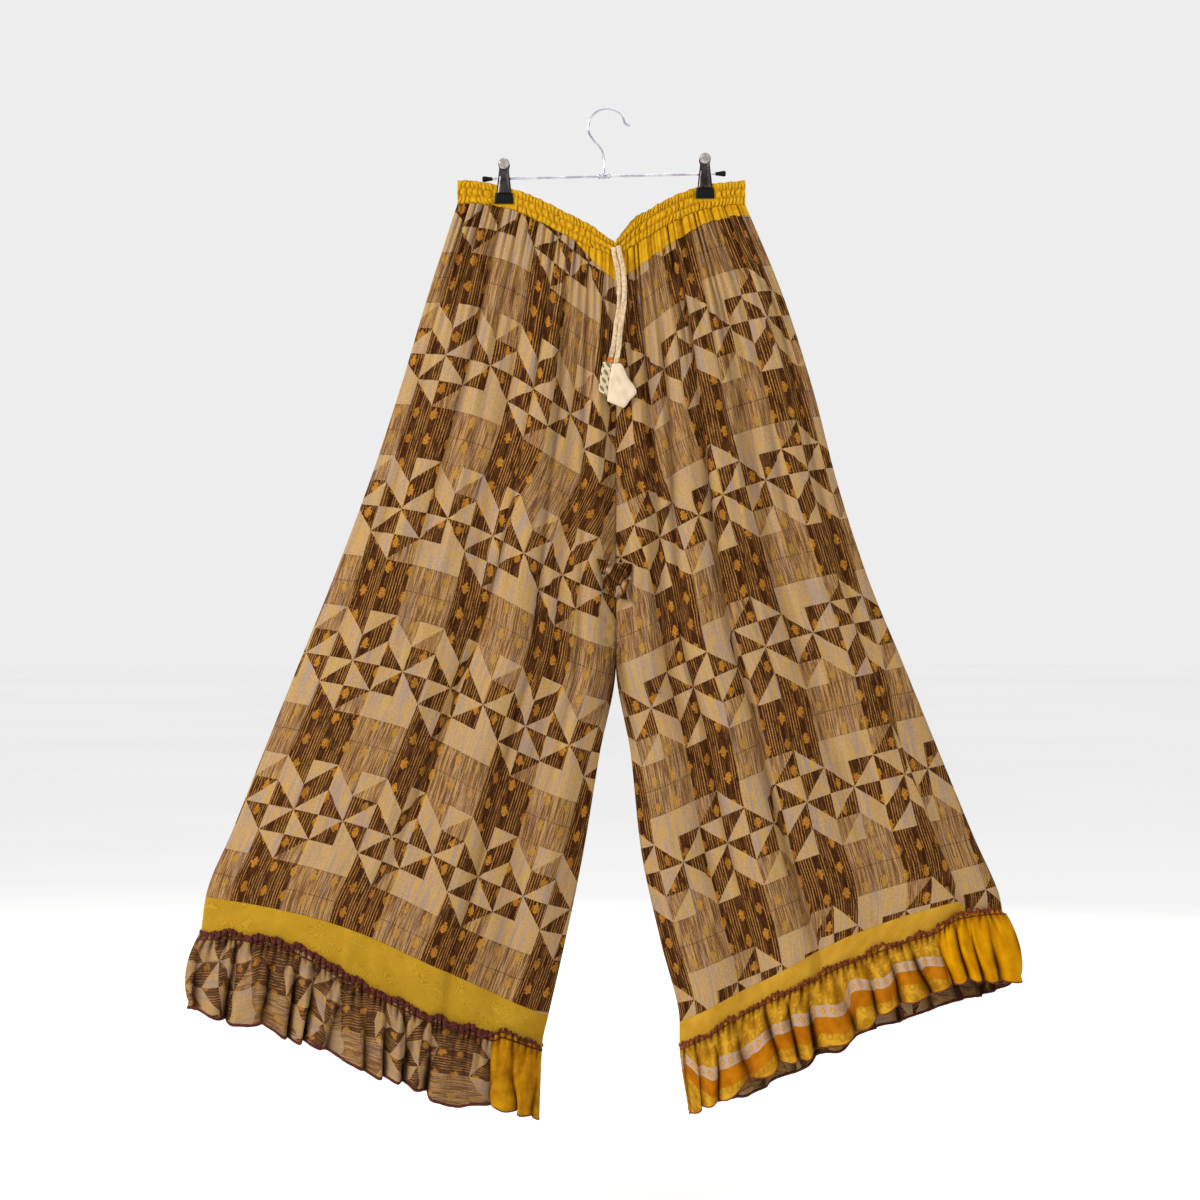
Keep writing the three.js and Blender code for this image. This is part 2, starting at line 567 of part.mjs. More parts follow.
function drawstringTabs() {
  tab('tab_cream', [[-4.4, 0], [4.6, 0], [24.8, -34.0], [8.6, -53.0], [-10.6, -44.0], [-8.0, -18.0]],
    { x: 10.6, z: -308.4 }, -32.6, 2.4, CREAM);
  tab('tab_leaf', [[-8.0, 0], [2.6, 0], [3.4, -14.0], [-1.2, -44.0], [-13.2, -33.0], [-11.0, -14.0]],
    { x: 3.2, z: -306.4 }, -29.8, 2.2, LEAF_PRINT);
  tab('tab_patch', [[-3.2, 0], [3.2, 0], [3.2, -6.2], [-3.2, -6.2]], { x: 3.8, z: -301 }, -32.4, 1.0, PATCH);
}

waistband('front');
waistband('back');
for (const leg of ['right', 'left']) {
  yokePiece(leg);
  for (const face of ['front', 'back']) {
    legPanel(leg, face);
    borderStrip(leg, face);
  }
}
ruffle('ruffle_right_front', 'right', 'front', 0, FRILL_JOIN.right - JOIN_GAP, BROWN_FRILL);
ruffle('ruffle_right_front_end', 'right', 'front', FRILL_JOIN.right + JOIN_GAP, 1, YELLOW);
ruffle('ruffle_left_front', 'left', 'front', FRILL_JOIN.left + JOIN_GAP, 1, YELLOW);
ruffle('ruffle_left_front_end', 'left', 'front', 0, FRILL_JOIN.left - JOIN_GAP, ORANGE);
ruffle('ruffle_right_back', 'right', 'back', 0, 1, BROWN_FRILL);
ruffle('ruffle_left_back', 'left', 'back', 0, 1, BROWN_FRILL);
hangerHook();
hangerBar();
for (const leg of ['right', 'left']) {
  clip(leg);
  drawstring(leg);
}
drawstringTabs();

export default pants;
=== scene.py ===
# %% [markdown]
# # Palazzo pants on a clip hanger
#
# Two very wide printed legs hang from a gathered elastic waist, and the waist is clipped to a wire
# hanger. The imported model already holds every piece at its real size. Here each plain solid is replaced
# by a finer piece of the same form: thin cloth with creases and gathers, overlocked edges, a crumpled
# drawstring and polished wire.
#
# Everything below is in metres once it is a mesh. The tables keep the pattern maker's millimetres.

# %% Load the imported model
import math

import bpy
import numpy as np
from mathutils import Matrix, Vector


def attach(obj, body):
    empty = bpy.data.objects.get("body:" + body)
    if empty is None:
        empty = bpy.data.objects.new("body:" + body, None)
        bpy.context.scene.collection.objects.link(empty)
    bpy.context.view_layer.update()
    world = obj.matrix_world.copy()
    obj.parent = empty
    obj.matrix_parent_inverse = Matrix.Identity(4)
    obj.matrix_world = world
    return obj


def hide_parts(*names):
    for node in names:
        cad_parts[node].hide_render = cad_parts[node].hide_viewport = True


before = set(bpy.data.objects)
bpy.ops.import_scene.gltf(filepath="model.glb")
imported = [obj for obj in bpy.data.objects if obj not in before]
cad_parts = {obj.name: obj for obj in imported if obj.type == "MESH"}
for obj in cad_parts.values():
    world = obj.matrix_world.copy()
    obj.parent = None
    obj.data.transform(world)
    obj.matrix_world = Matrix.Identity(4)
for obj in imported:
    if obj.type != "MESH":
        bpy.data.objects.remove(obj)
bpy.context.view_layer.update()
MM = 0.001


def add_object(name, data):
    """A new object in the scene, from its mesh, light or camera."""
    made = bpy.data.objects.new(name, data)
    bpy.context.collection.objects.link(made)
    return made


# %% [markdown]
# ## The camera
#
# The garment is seen square on, from a few metres away. A long lens keeps the near hems from looking
# larger than the waist. The aim is level, at half the height of the frame.

# %% Camera, aimed level at the middle of the garment
FRAME_WIDTH = 1.44
AIM = Vector((-0.0084, -0.02, -0.5912))
LENS = 85.0
SENSOR = 36.0

camera_data = bpy.data.cameras.new("camera")
camera_data.lens = LENS
camera_data.sensor_width = SENSOR
camera = add_object("camera", camera_data)
distance = FRAME_WIDTH * LENS / SENSOR
camera.location = AIM - Vector((0, distance, 0))
camera.rotation_euler = (math.pi / 2, 0, 0)
bpy.context.scene.camera = camera
print("camera", round(distance, 2), "metres from the cloth")

# %% [markdown]
# ## Soft light on a pale floor
#
# Cloth shows its folds when one large soft light comes from the side and a weaker one fills the other
# side. The Standard view keeps the mustard yellow as saturated as it is in daylight.

# %% Lights, floor and sky
FLOOR_LEVEL = -1.36
LIT_LEVEL = -0.62                 # all lights point at the middle of the garment
DAYLIGHT = 0.85


def soft_light(name, place, size, power, colour=(1.0, 0.98, 0.95)):
    """A rectangle of light at a place, turned to the middle of the garment."""
    data = bpy.data.lights.new(name, "AREA")
    data.shape = "RECTANGLE"
    data.size, data.size_y = size
    data.energy = power
    data.color = colour
    light = add_object(name, data)
    light.location = place
    aim = Vector((0, 0, LIT_LEVEL)) - light.location
    light.rotation_euler = aim.to_track_quat("-Z", "Y").to_euler()


soft_light("key_light", (-2.5, -2.0, 1.0), (1.2, 1.6), 108)
soft_light("fill_light", (2.6, -2.8, 0.1), (2.0, 2.0), 20)
soft_light("top_light", (0.2, -0.4, 2.4), (2.2, 1.2), 18)
soft_light("back_light", (0.6, 2.8, 0.8), (2.2, 2.0), 34)

world = bpy.data.worlds.new("pale_room")
world.use_nodes = True
world.node_tree.nodes["Background"].inputs["Color"].default_value = (1.0, 1.0, 1.0, 1)
world.node_tree.nodes["Background"].inputs["Strength"].default_value = DAYLIGHT
bpy.context.scene.world = world
bpy.context.scene.view_settings.view_transform = "Standard"
print("four soft lights")

# %% [markdown]
# ## Shader maths as plain arithmetic
#
# A printed cloth is a formula: which cell of the repeat is this, is it the dark or the light half, is
# there a streak. Written with nodes it is hard to read, so a small class wraps one socket and turns +, -,
# * and / into Math nodes. Any other node comes from one method that takes its type, its settings and its
# inputs.

# %% A socket that can be added, multiplied and compared
LAMP = (1.55, 1.78, 2.10)         # how much red, green and blue light falls on the front of the garment


def hex_colour(code):
    """The linear colour of a thing that looks like a hexadecimal screen colour."""
    parts = [int(code[i : i + 2], 16) / 255 for i in (0, 2, 4)]
    linear = [p / 12.92 if p <= 0.04045 else ((p + 0.055) / 1.055) ** 2.4 for p in parts]
    return (*linear, 1.0)


def dye(code):
    """The colour of a cloth that looks like a hexadecimal screen colour once it is lit."""
    red, green, blue, _ = hex_colour(code)
    return (red / LAMP[0], green / LAMP[1], blue / LAMP[2], 1.0)


class Wire:
    """One output in a material's node tree."""

    def __init__(self, tree, socket):
        self.tree = tree
        self.socket = socket

    def node(self, kind, settings=None, inputs=(), output=0):
        """Any node, from its type, its settings and its inputs, which may be wires or plain values."""
        made = self.tree.nodes.new(kind)
        for name, value in (settings or {}).items():
            if name == "stops":
                ramp = made.color_ramp
                ramp.interpolation = "CONSTANT"
                ramp.elements.remove(ramp.elements[1])
                ramp.elements[0].color = value[0][1]
                for place, colour in value[1:]:
                    ramp.elements.new(place).color = colour
            else:
                setattr(made, name, value)
        pairs = inputs.items() if isinstance(inputs, dict) else enumerate(inputs)
        for key, value in pairs:
            if isinstance(value, Wire):
                self.tree.links.new(value.socket, made.inputs[key])
            else:
                made.inputs[key].default_value = value
        return Wire(self.tree, made.outputs[output])

    def math(self, operation, *others):
        return self.node("ShaderNodeMath", {"operation": operation}, (self, *others))

    def __add__(self, other):
        return self.math("ADD", other)

    def __sub__(self, other):
        return self.math("SUBTRACT", other)

    def __rsub__(self, other):
        return self.node("ShaderNodeMath", {"operation": "SUBTRACT"}, (other, self))

    def __mul__(self, other):
        return self.math("MULTIPLY", other)

    def __truediv__(self, other):
        return self.math("DIVIDE", other)

    def __rtruediv__(self, other):
        return self.node("ShaderNodeMath", {"operation": "DIVIDE"}, (other, self))

    def __gt__(self, other):
        return self.math("GREATER_THAN", other)

    def __lt__(self, other):
        return self.math("LESS_THAN", other)

    def __pow__(self, other):
        return self.math("POWER", other)

    def __rpow__(self, other):
        return self.node("ShaderNodeMath", {"operation": "POWER"}, (other, self))

    def __mod__(self, other):
        return self.math("MODULO", other)

    def __abs__(self):
        return self.math("ABSOLUTE")

    __radd__ = __add__
    __rmul__ = __mul__

    def floor(self):
        return self.math("FLOOR")

    def fraction(self):
        return self.math("FRACT")

    def step(self, low, high):
        """0 below low and 1 above high, with a smooth rise between; a high below low makes it fall."""
        if low > high:
            return 1 - self.step(high, low)
        settings = {"interpolation_type": "SMOOTHSTEP"}
        return self.node("ShaderNodeMapRange", settings, {0: self, 1: low, 2: high, 3: 0.0, 4: 1.0})

    def blend(self, zero, one):
        """A colour or value that is zero where this is 0, and one where this is 1."""
        return self.node("ShaderNodeMix", {"data_type": "RGBA"}, {0: self, 6: zero, 7: one}, 2)


class Finish:
    """A material: a Principled shader with its constants, and the wires that vary over the cloth."""

    def __init__(self, name, **constants):
        self.material = bpy.data.materials.new(name)
        self.material.use_nodes = True
        self.tree = self.material.node_tree
        self.shader = self.tree.nodes["Principled BSDF"]
        for socket, value in constants.items():
            self.shader.inputs[socket.replace("_", " ")].default_value = value
        self.start = Wire(self.tree, None)

    def mark(self, name):
        """A value or vector that the mesh carries at each point."""
        return self.start.node("ShaderNodeAttribute", {"attribute_name": name}, (), 1)

    def parts(self, vector):
        """The three numbers in a vector."""
        split = self.start.node("ShaderNodeSeparateXYZ", {}, (vector,))
        return [Wire(self.tree, split.socket.node.outputs[k]) for k in range(3)]

    def vector(self, x, y, z=0.0):
        return self.start.node("ShaderNodeCombineXYZ", {}, (x, y, z))

    def print_place(self):
        """The print coordinates as a flat vector, then across, down and how much shade is painted there."""
        across, down, painted_shade = self.parts(self.mark("print"))
        return self.vector(across, down), across, down, painted_shade

    def noise(self, vector, scale=1.0, detail=2.0, roughness=0.5):
        inputs = {"Vector": vector, "Scale": scale, "Detail": detail, "Roughness": roughness}
        return self.start.node("ShaderNodeTexNoise", {}, inputs)

    def object_place(self):
        return self.start.node("ShaderNodeTexCoord", {}, (), 3)

    def colour(self, wire):
        self.tree.links.new(wire.socket, self.shader.inputs["Base Color"])

    def relief(self, height, depth, strength=1.0):
        """Bumps whose full height is depth metres."""
        inputs = {"Strength": strength, "Distance": depth, "Height": height}
        bump = self.start.node("ShaderNodeBump", {}, inputs)
        self.tree.links.new(bump.socket, self.shader.inputs["Normal"])


print("shader helpers ready")

# %% [markdown]
# ## The printed rayon
#
# The print is patchwork of the oldest kind: squares cut in two from corner to corner, one half dark and
# one light, set so that four of them make a pinwheel. The repeat is four squares wide and six high. It is
# charted here as text, one letter pair and one diagonal for each square, and a short ramp holds one
# number for each row, whose digits are the four squares. The shader reads one digit at each point.
#
# Each mesh carries its print coordinates in millimetres: across the cloth, and down it. A third number
# says how much shade is painted there.

# %% The chart of the repeat
CELL_WIDTH = 31.0
CELL_HEIGHT = 31.9
MOTIF_STEP = CELL_WIDTH * 4 / 5
KINDS = "LKD"                     # plain light, light with streaks, dark with streaks
CHART = [                         # the upper half, the diagonal and the lower half of each square
    "D\\L L/D K\\L L/K",
    "L\\D D/L L\\D D/L",
    "L/D D\\L L/D D\\L",
    "L\\D D/K L\\L L\\L",
    "D\\D D\\D K\\K K\\K",
    "D\\D D\\D K\\K K\\K",
]


def row_stops():
    """A ramp stop for each row of the chart. Its red holds the diagonals, green and blue the two halves."""
    stops = []
    for number, row in enumerate(CHART):
        squares = row.split()
        slants = sum(2**k for k, square in enumerate(squares) if square[1] == "/")
        uppers = sum(3**k * KINDS.index(square[0]) for k, square in enumerate(squares))
        lowers = sum(3**k * KINDS.index(square[2]) for k, square in enumerate(squares))
        stops.append((number / len(CHART), (slants / 16, uppers / 81, lowers / 81, 1)))
    return stops


print("the chart has", len(CHART), "rows")

# %% [markdown]
# ## Drawing the patches
#
# Woven-in figures are drawn over each patch: a drop-shaped motif in every lane, bundles of thin pale
# lines between the lanes on the dark patches, and long broken streaks on the half-light ones. Every edge
# is made rough with noise, because old block printing never had a clean edge. Shade is painted into the
# colour where the cloth dips into a crease.

# %% Colours and drawing of the print
MARGIN = (40, 60)                 # whole cells added, so that no coordinate falls below 0
DROP_HALF = 7.6                   # half the length of a drop-shaped motif
LINE_STEP = 3.05                  # from one thin line to the next


def layered(colour, layers):
    """A colour under a row of others, each with where it lies, how thickly, and its hexadecimal code."""
    for where, thickness, code in layers:
        colour = (where * thickness).blend(colour, dye(code))
    return colour


def patchwork(finish, place, across, down):
    """The print's colour at a place given in print millimetres."""
    wobble = finish.noise(place, 0.9, 1.0)
    across = across + (wobble - 0.5) * 1.8 + MARGIN[0] * CELL_WIDTH
    down = down + (wobble - 0.5) * 1.2 + MARGIN[1] * CELL_HEIGHT

    columns = across / CELL_WIDTH
    rows = down / CELL_HEIGHT
    column_number = columns.floor() % 4
    row_number = rows.floor() % 6
    within_x = columns.fraction()
    within_y = rows.fraction()

    ramp = finish.start.node("ShaderNodeValToRGB", {"stops": row_stops()}, ((row_number + 0.5) / 6,))
    split = ramp.node("ShaderNodeSeparateColor", {}, (ramp,))
    slants, uppers, lowers = [Wire(finish.tree, split.socket.node.outputs[k]) for k in range(3)]
    slant = ((slants * 16 + 0.5) / (2**column_number)).floor() % 2
    upper = ((uppers * 81 + 0.5) / (3**column_number)).floor() % 3
    lower = ((lowers * 81 + 0.5) / (3**column_number)).floor() % 3

    diagonal = within_x + slant * (1 - 2 * within_x)
    in_upper = within_y < diagonal
    kind = lower + in_upper * (upper - lower)
    dark = kind > 1.5
    streaked = kind > 0.5

    # Drop-shaped motifs stand in columns, with bundles of thin lines between the columns.
    lane = (across / MOTIF_STEP).fraction()
    from_middle = (lane - 0.5) * MOTIF_STEP
    side = abs(from_middle) / MOTIF_STEP
    down_motif = ((down / CELL_HEIGHT + 0.23).fraction() - 0.5) * CELL_HEIGHT
    speckle = finish.noise(place, 0.8, 3.0, 0.7)
    rough_edge = finish.noise(place, 0.34, 2.0, 0.6)
    grain = finish.noise(finish.vector(across * 0.5, down * 0.04), 1.0, 3.0, 0.7)
    streak = finish.noise(finish.vector(across * 0.25, down * 0.02), 1.0, 3.0, 0.7)
    drift = finish.noise(finish.vector(across * 0.1, down * 0.02), 1.0, 1.0)
    bands = finish.noise(finish.vector(across * 0.17, down * 0.012), 1.0, 2.0)
    strings = finish.noise(finish.vector(across * 0.8, down * 0.022), 1.0, 2.0, 0.6)

    taper = 1 - (down_motif / DROP_HALF) * (down_motif / DROP_HALF)
    drop = (taper * (4.0 + down_motif * 0.10) - abs(from_middle) + (rough_edge - 0.5) * 11).step(-0.7, 1.0)
    drop = drop * (drift.step(0.35, 0.60) * 0.4 + 0.55)
    shadow = (taper * 3.5 + 2.6 - abs(from_middle)).step(-0.5, 2.0)
    wave = abs((across / LINE_STEP + (drift - 0.5) * 0.6).fraction() - 0.5)
    broken = grain.step(0.38, 0.52)
    line = wave.step(0.27, 0.42) * broken * side.step(0.10, 0.2)

    brown = layered(speckle.step(0.44, 0.60).blend(dye("2a160b"), dye("553219")), [
        (bands.step(0.50, 0.64), 0.4, "6a4c30"),
        (grain.step(0.50, 0.60), 0.5, "7c5430"),
        (strings.step(0.48, 0.38), 0.6, "26130a"),
        (line, 0.85, "b98c4e"),
        (shadow, 0.5, "3c2110"),
        (drop, 1, "d0953a"),
        (drop * speckle.step(0.53, 0.43), 0.9, "6e4522"),
    ])

    pale_drop = (taper * 3.4 - abs(from_middle) + (rough_edge - 0.5) * 9).step(-0.8, 2.0)
    beige = layered((bands.step(0.47, 0.62) * 0.75).blend(dye("c2a679"), dye("a89a9a")), [
        (bands.step(0.44, 0.30), 0.5, "c6a85c"),
        (strings.step(0.50, 0.60), 0.25, "94805c"),
        (rough_edge.step(0.50, 0.64), 0.35, "9c865e"),
        (pale_drop, 0.5, "c9a94e"),
    ])

    ring = abs(taper * 4.0 - abs(from_middle)).step(1.3, 0.5) * speckle.step(0.40, 0.52)
    seam_line = abs(within_y - 0.5).step(0.474, 0.487) * (row_number > 3.5) * speckle.step(0.44, 0.52)
    fawn = layered((streak.step(0.40, 0.60) * 0.7).blend(dye("ba9a69"), dye("8c6542")), [
        (bands.step(0.50, 0.60), 0.6, "9a857c"),
        (strings.step(0.47, 0.57), 0.75, "5c3921"),
        (strings.step(0.45, 0.37), 0.6, "c8a970"),
        (speckle.step(0.54, 0.64), 0.5, "4e301a"),
        (ring, 0.5, "6f4a2c"),
        (drop, 0.75, "c59e48"),
        (drop * speckle.step(0.50, 0.42), 0.6, "7c5a30"),
        (seam_line, 0.8, "4c3020"),
    ])

    light = streaked.blend(beige, fawn)
    return dark.blend(light, brown)


def with_painted_shade(finish, colour, painted_shade, depth=0.62):
    """A colour with painted shade, darker where the cloth dips into a crease."""
    shade = 1 - painted_shade * depth
    grey = finish.start.node("ShaderNodeCombineColor", {}, (shade, shade ** 1.15, shade ** 1.3))
    settings = {"data_type": "RGBA", "blend_type": "MULTIPLY"}
    return finish.start.node("ShaderNodeMix", settings, {0: 1.0, 6: colour, 7: grey}, 2)


def printed_rayon(name, tint="ffffff", amount=0.0, depth=0.62):
    """The patchwork print with painted shade in its creases. A tint can dull and darken it."""
    finish = Finish(name, Roughness=0.9, Specular_IOR_Level=0.03)
    place, across, down, painted_shade = finish.print_place()
    colour = patchwork(finish, place, across, down)
    if amount:
        inputs = {0: amount, 6: colour, 7: dye(tint)}
        colour = finish.start.node("ShaderNodeMix", {"data_type": "RGBA"}, inputs, 2)
    # Shade is painted into the creases, and the thread noise adds a random tone to it.
    threads = finish.noise(place, 0.42, 3.0, 0.75)
    finish.colour(with_painted_shade(finish, colour, painted_shade + (0.5 - threads) * 0.8, depth))
    crumple = finish.noise(place, 0.16, 4.0, 0.6)
    weave = finish.noise(place, 2.2, 2.0)
    finish.relief(crumple * 0.8 + weave * 0.25, 0.0011, 0.75)
    return finish.material


PRINTED = printed_rayon("printed_rayon")
# The frill's copy is dulled by a tint and has deeper painted shade in its creases.
PRINTED_FRILL = printed_rayon("printed_rayon_frill", "715a4a", 0.25, 0.85)
print("printed rayon ready")

# %% [markdown]
# ## The yellow cloths
#
# The casing, the borders and the frills' end pieces are the same rayon in mustard, deeper where the dye
# or the double cloth is thicker. The striped frill has a lavender stripe with small diamonds, then an
# orange stripe.

# %% Mustard, orange and striped cloth


def yellow_rayon(name, light, deep, scale=0.05, rough=0.7, crease=0.62, watered=0.0):
    """Rayon that wanders between two yellows, fine pale contours where watered, and painted shade in creases.
    """
    finish = Finish(name, Roughness=rough, Specular_IOR_Level=0.02)
    place, across, down, painted_shade = finish.print_place()
    patches = finish.noise(finish.vector(across * scale, down * scale), 1.0, 3.0)
    fibres = finish.noise(finish.vector(across * 1.1, down * 0.35), 1.0, 2.0)
    tone = patches * 0.7 + fibres * 0.3
    colour = tone.step(0.30, 0.72).blend(dye(deep), dye(light))
    if watered:
        contours = (finish.noise(finish.vector(across * 0.3, down), 0.04, 1.0) * 62).fraction()
        colour = (abs(contours - 0.5).step(0.12, 0.42) * watered).blend(colour, dye("e6c452"))
    # Shade is painted into the creases, as deep as crease.
    finish.colour(with_painted_shade(finish, colour, painted_shade, crease))
    finish.relief(finish.noise(place, 0.2, 3.0) * 0.7 + fibres * 0.3, 0.0009, 0.7)
    return finish.material


PALE_STRIPE = (43.0, 58.6)        # down from the top of the frill, with the diamonds along its middle
ORANGE_STRIPE = (58.2, 79.0)
DIAMOND_STEP = 15
RING_STEP = (17, 15)


def striped_rayon():
    """Mustard cloth with rings, a pale stripe of diamonds, an orange stripe below it, and painted shade in
    creases.
    """
    finish = Finish("striped_rayon", Roughness=0.6, Specular_IOR_Level=0.04)
    place, across, down, painted_shade = finish.print_place()
    soft = finish.noise(place, 0.05, 3.0)
    level = down + (soft - 0.5) * 3
    colour = soft.step(0.3, 0.7).blend(dye("a8780c"), dye("dcb032"))
    ring_x = ((across / RING_STEP[0]).fraction() - 0.5) * RING_STEP[0]
    ring_y = ((level / RING_STEP[1]).fraction() - 0.5) * RING_STEP[1]
    ring = (ring_x * ring_x + ring_y * ring_y) ** 0.5
    low, high = PALE_STRIPE
    stripe = level.step(low, low + 0.8) * level.step(high, high - 0.8)
    low, high = ORANGE_STRIPE
    orange = level.step(low, low + 0.6) * level.step(high, high - 0.6)
    mark_x = abs((across / DIAMOND_STEP).fraction() - 0.5) * DIAMOND_STEP
    mark_y = abs(level - sum(PALE_STRIPE) / 2)
    diamond = mark_x + mark_y * 1.05
    colour = layered(colour, [
        (abs(ring - 4.3).step(1.4, 0.5), 0.5, "94690c"),
        (stripe, 1, "c2aea0"),
        (stripe * diamond.step(5.6, 5.0), 1, "cf9a2c"),
        (stripe * diamond.step(3.0, 2.4), 1, "cdbaa8"),
        (stripe * diamond.step(1.5, 1.0), 1, "c98c1e"),
    ])
    colour = orange.blend(colour, soft.step(0.3, 0.7).blend(dye("ac6603"), dye("c88208")))
    # Shade is painted into the creases.
    finish.colour(with_painted_shade(finish, colour, painted_shade, 0.82))
    finish.relief(finish.noise(place, 0.2, 3.0), 0.0009, 0.7)
    return finish.material


WAIST_YELLOW = yellow_rayon("waist_mustard", "ecc42c", "d09c12", 0.12, 0.7, 0.56)
BORDER_YELLOW = yellow_rayon("border_mustard", "bc9a26", "a48218", 0.03, 0.7, 0.6, 0.3)
BORDER_PALE = yellow_rayon("border_pale_mustard", "d4ad40", "c0952c", 0.05, 0.7, 0.6)
ORANGE = yellow_rayon("orange_rayon", "ecb406", "cc8c02", 0.04, 0.5, 0.75)
INSERT_GOLD = yellow_rayon("insert_gold", "d4a21a", "9c6604", 0.05, 0.55, 0.7)
STRIPED = striped_rayon()
print("yellow cloths ready")

# %% [markdown]
# ## Cotton, thread, steel and rubber
#
# The small parts need little drawing. Each wanders between two shades of its own colour, and has a fine
# relief. Only the tab with printed leaves has a figure: rows of slanting leaves, each row half a step
# along.

# %% Small finishes


def plain_finish(name, light, deep, scale, rough, depth, tint=dye, **constants):
    """A finish that wanders between two colours, with relief of its own."""
    finish = Finish(name, Roughness=rough, **constants)
    place = finish.object_place()
    cloud = finish.noise(place, scale, 3.0)
    finish.colour(cloud.step(0.35, 0.65).blend(tint(deep), tint(light)))
    if depth:
        finish.relief(finish.noise(place, scale * 3, 3.0), depth, 0.8)
    return finish.material


def leaf_cotton():
    """Cream cotton with slanting green leaves."""
    finish = Finish("leaf_cotton", Roughness=0.85, Specular_IOR_Level=0.2)
    x, _, z = finish.parts(finish.object_place())
    cloud = finish.noise(finish.object_place(), 160.0, 2.0)
    leaf_x = abs(((x + z * 0.5) * 140).fraction() - 0.5) * 7
    leaf_z = ((z * 105).fraction() - 0.5) * 9.5
    leaf = (2.4 - leaf_x - leaf_z * leaf_z * 0.12 + (cloud - 0.5) * 1.5).step(0, 0.6)
    ground = cloud.step(0.3, 0.7).blend(dye("d8c9b2"), dye("e9dfce"))
    finish.colour((leaf * 0.9).blend(ground, dye("5f7040")))
    finish.relief(cloud, 0.0004)
    return finish.material


CREAM = plain_finish("cream_cotton", "ecdfc6", "cfba98", 300.0, 0.85, 0.0008, Specular_IOR_Level=0.2)
TAB_CREAM = plain_finish("tab_cotton", "f0e7d8", "e2d6c2", 60.0, 0.85, 0.0005, Specular_IOR_Level=0.2)
LEAF = leaf_cotton()
PATCH = plain_finish("orange_patch", "e5850f", "b85d06", 400.0, 0.8, 0.0004)
RUST = plain_finish("rust_thread", "96481c", "5a2410", 700.0, 0.7, 0.0004, Specular_IOR_Level=0.2)
MAROON = plain_finish("maroon_thread", "6e2c1c", "3a1410", 700.0, 0.7, 0.0004, Specular_IOR_Level=0.2)
CHROME = plain_finish("chrome_wire", "d6d3da", "a9a6b4", 60.0, 0.16, 0, hex_colour, Metallic=1.0)
CLIP_STEEL = plain_finish("clip_steel", "4c4547", "322c2d", 90.0, 0.18, 0, hex_colour, Metallic=1.0)
RUBBER = plain_finish("black_rubber", "0c0c0d", "060606", 500.0, 0.35, 0.0001, Specular_IOR_Level=0.12)
KNOB = plain_finish("grey_knob", "b9bcc4", "8b8e97", 200.0, 0.22, 0, Coat_Weight=0.6)
print("small finishes ready")

# %% [markdown]
# ## The cut of the legs
#
# Each leg is one sheet that is described by sections from the waist seam to the hem. A section is a row
# of the table: where the side seam and the inner seam are, and how far the cloth between them rises above
# a straight line. A smooth curve through the rows gives any place between them. The plain solids have the
# same sections, so cloth lies on them. Folds are rows too, each with its place at the waist and at the
# hem.

# %% Tables of the legs
SEAM = 0.3                        # the gap between two pieces
LEG_LENGTH = 905                  # from the waist seam to the yellow border
PANEL_GATHERS = 9                 # soft folds across one panel, and their depth
GATHER_DEPTH = 3.2
FRILL_HEAD = 7                    # how far the frill reaches above its gathering line
HEAD_SWING = 1.2                  # how far a frill swings in and out at its top, and at its hem
RUFFLE_SWING = 6.5
FRILL_STANDOFF = 3.3              # how far the frill lies in front of the cloth behind it
BACK_HEM_DROP = 22                # how much lower the left leg's back hangs
BORDER_START = 1.0                # shares of the leg's length
FRILL_SEAM = 1.05
HEM = 1.15
PANEL_WIDTH = 444                 # the cloth of one panel, laid flat
CLIP_X = {"right": -124.2, "left": 118.2}
CLIP_TOP = {"right": -59.2, "left": -52.8}
JAW_LENGTH = 41.0
GRIP_HEIGHT = 13.0

LEG_COLUMNS = ("along", "outer_x", "outer_z", "inner_x", "inner_z", "bow", "sway")
LEGS = {
    "right": [
        (0.00, -180.0, -113.5, 10.8, -178.0, 12, 5),
        (0.13, -216.0, -225.1, 10.8, -304.3, 12, 6),
        (0.26, -249.6, -337.9, 10.8, -425.5, 12, 6),
        (0.40, -286.2, -448.9, 10.8, -546.7, 12, 6),
        (0.53, -327.0, -558.2, 10.8, -666.7, 12, 6),
        (0.65, -367.8, -659.5, -9.0, -777.1, 14, 5),
        (0.78, -409.2, -762.7, -27.6, -889.9, 17, 4),
        (0.90, -450.0, -865.9, -50.4, -1002.7, 20, 4),
        (1.00, -483.6, -948.7, -70.8, -1092.7, 23, 4),
        (1.05, -489.6, -992.0, -78.0, -1126.3, 17, 14),
        (1.15, -505.2, -1080.7, -81.6, -1212.7, -3, 5),
    ],
    "left": [
        (0.00, 166.8, -114.7, 10.8, -178.0, 15, 2),
        (0.13, 212.4, -225.1, 10.8, -304.3, 14, 4),
        (0.26, 248.4, -337.9, 10.8, -425.5, 12, 5),
        (0.40, 278.4, -453.1, 10.8, -546.7, 12, 5),
        (0.53, 315.0, -565.9, 10.8, -666.7, 12, 5),
        (0.65, 356.4, -666.7, 28.8, -777.1, 14, 5),
        (0.78, 398.4, -769.9, 40.8, -889.9, 17, 6),
        (0.90, 441.2, -874.3, 64.8, -1002.7, 20, 6),
        (1.00, 474.0, -951.0, 87.6, -1098.7, 22, 7),
        (1.05, 477.6, -972.0, 87.6, -1127.5, 19, 4),
        (1.15, 499.2, -1045.9, 98.4, -1206.7, 10, 13),
    ],
}
FULLNESS_COLUMNS = ("along", "front", "back", "centre")
FULLNESS = [
    (0.00, 3, 3, 4),
    (0.13, 15, 13, 11),
    (0.26, 21, 18, 16),
    (0.40, 25, 21, 13),
    (0.53, 27, 23, 0),
    (0.65, 28, 24, 0),
    (0.78, 30, 26, 0),
    (0.90, 31, 27, 0),
    (1.00, 32, 28, 0),
    (1.05, 33, 29, 0),
    (1.15, 38, 34, 0),
]
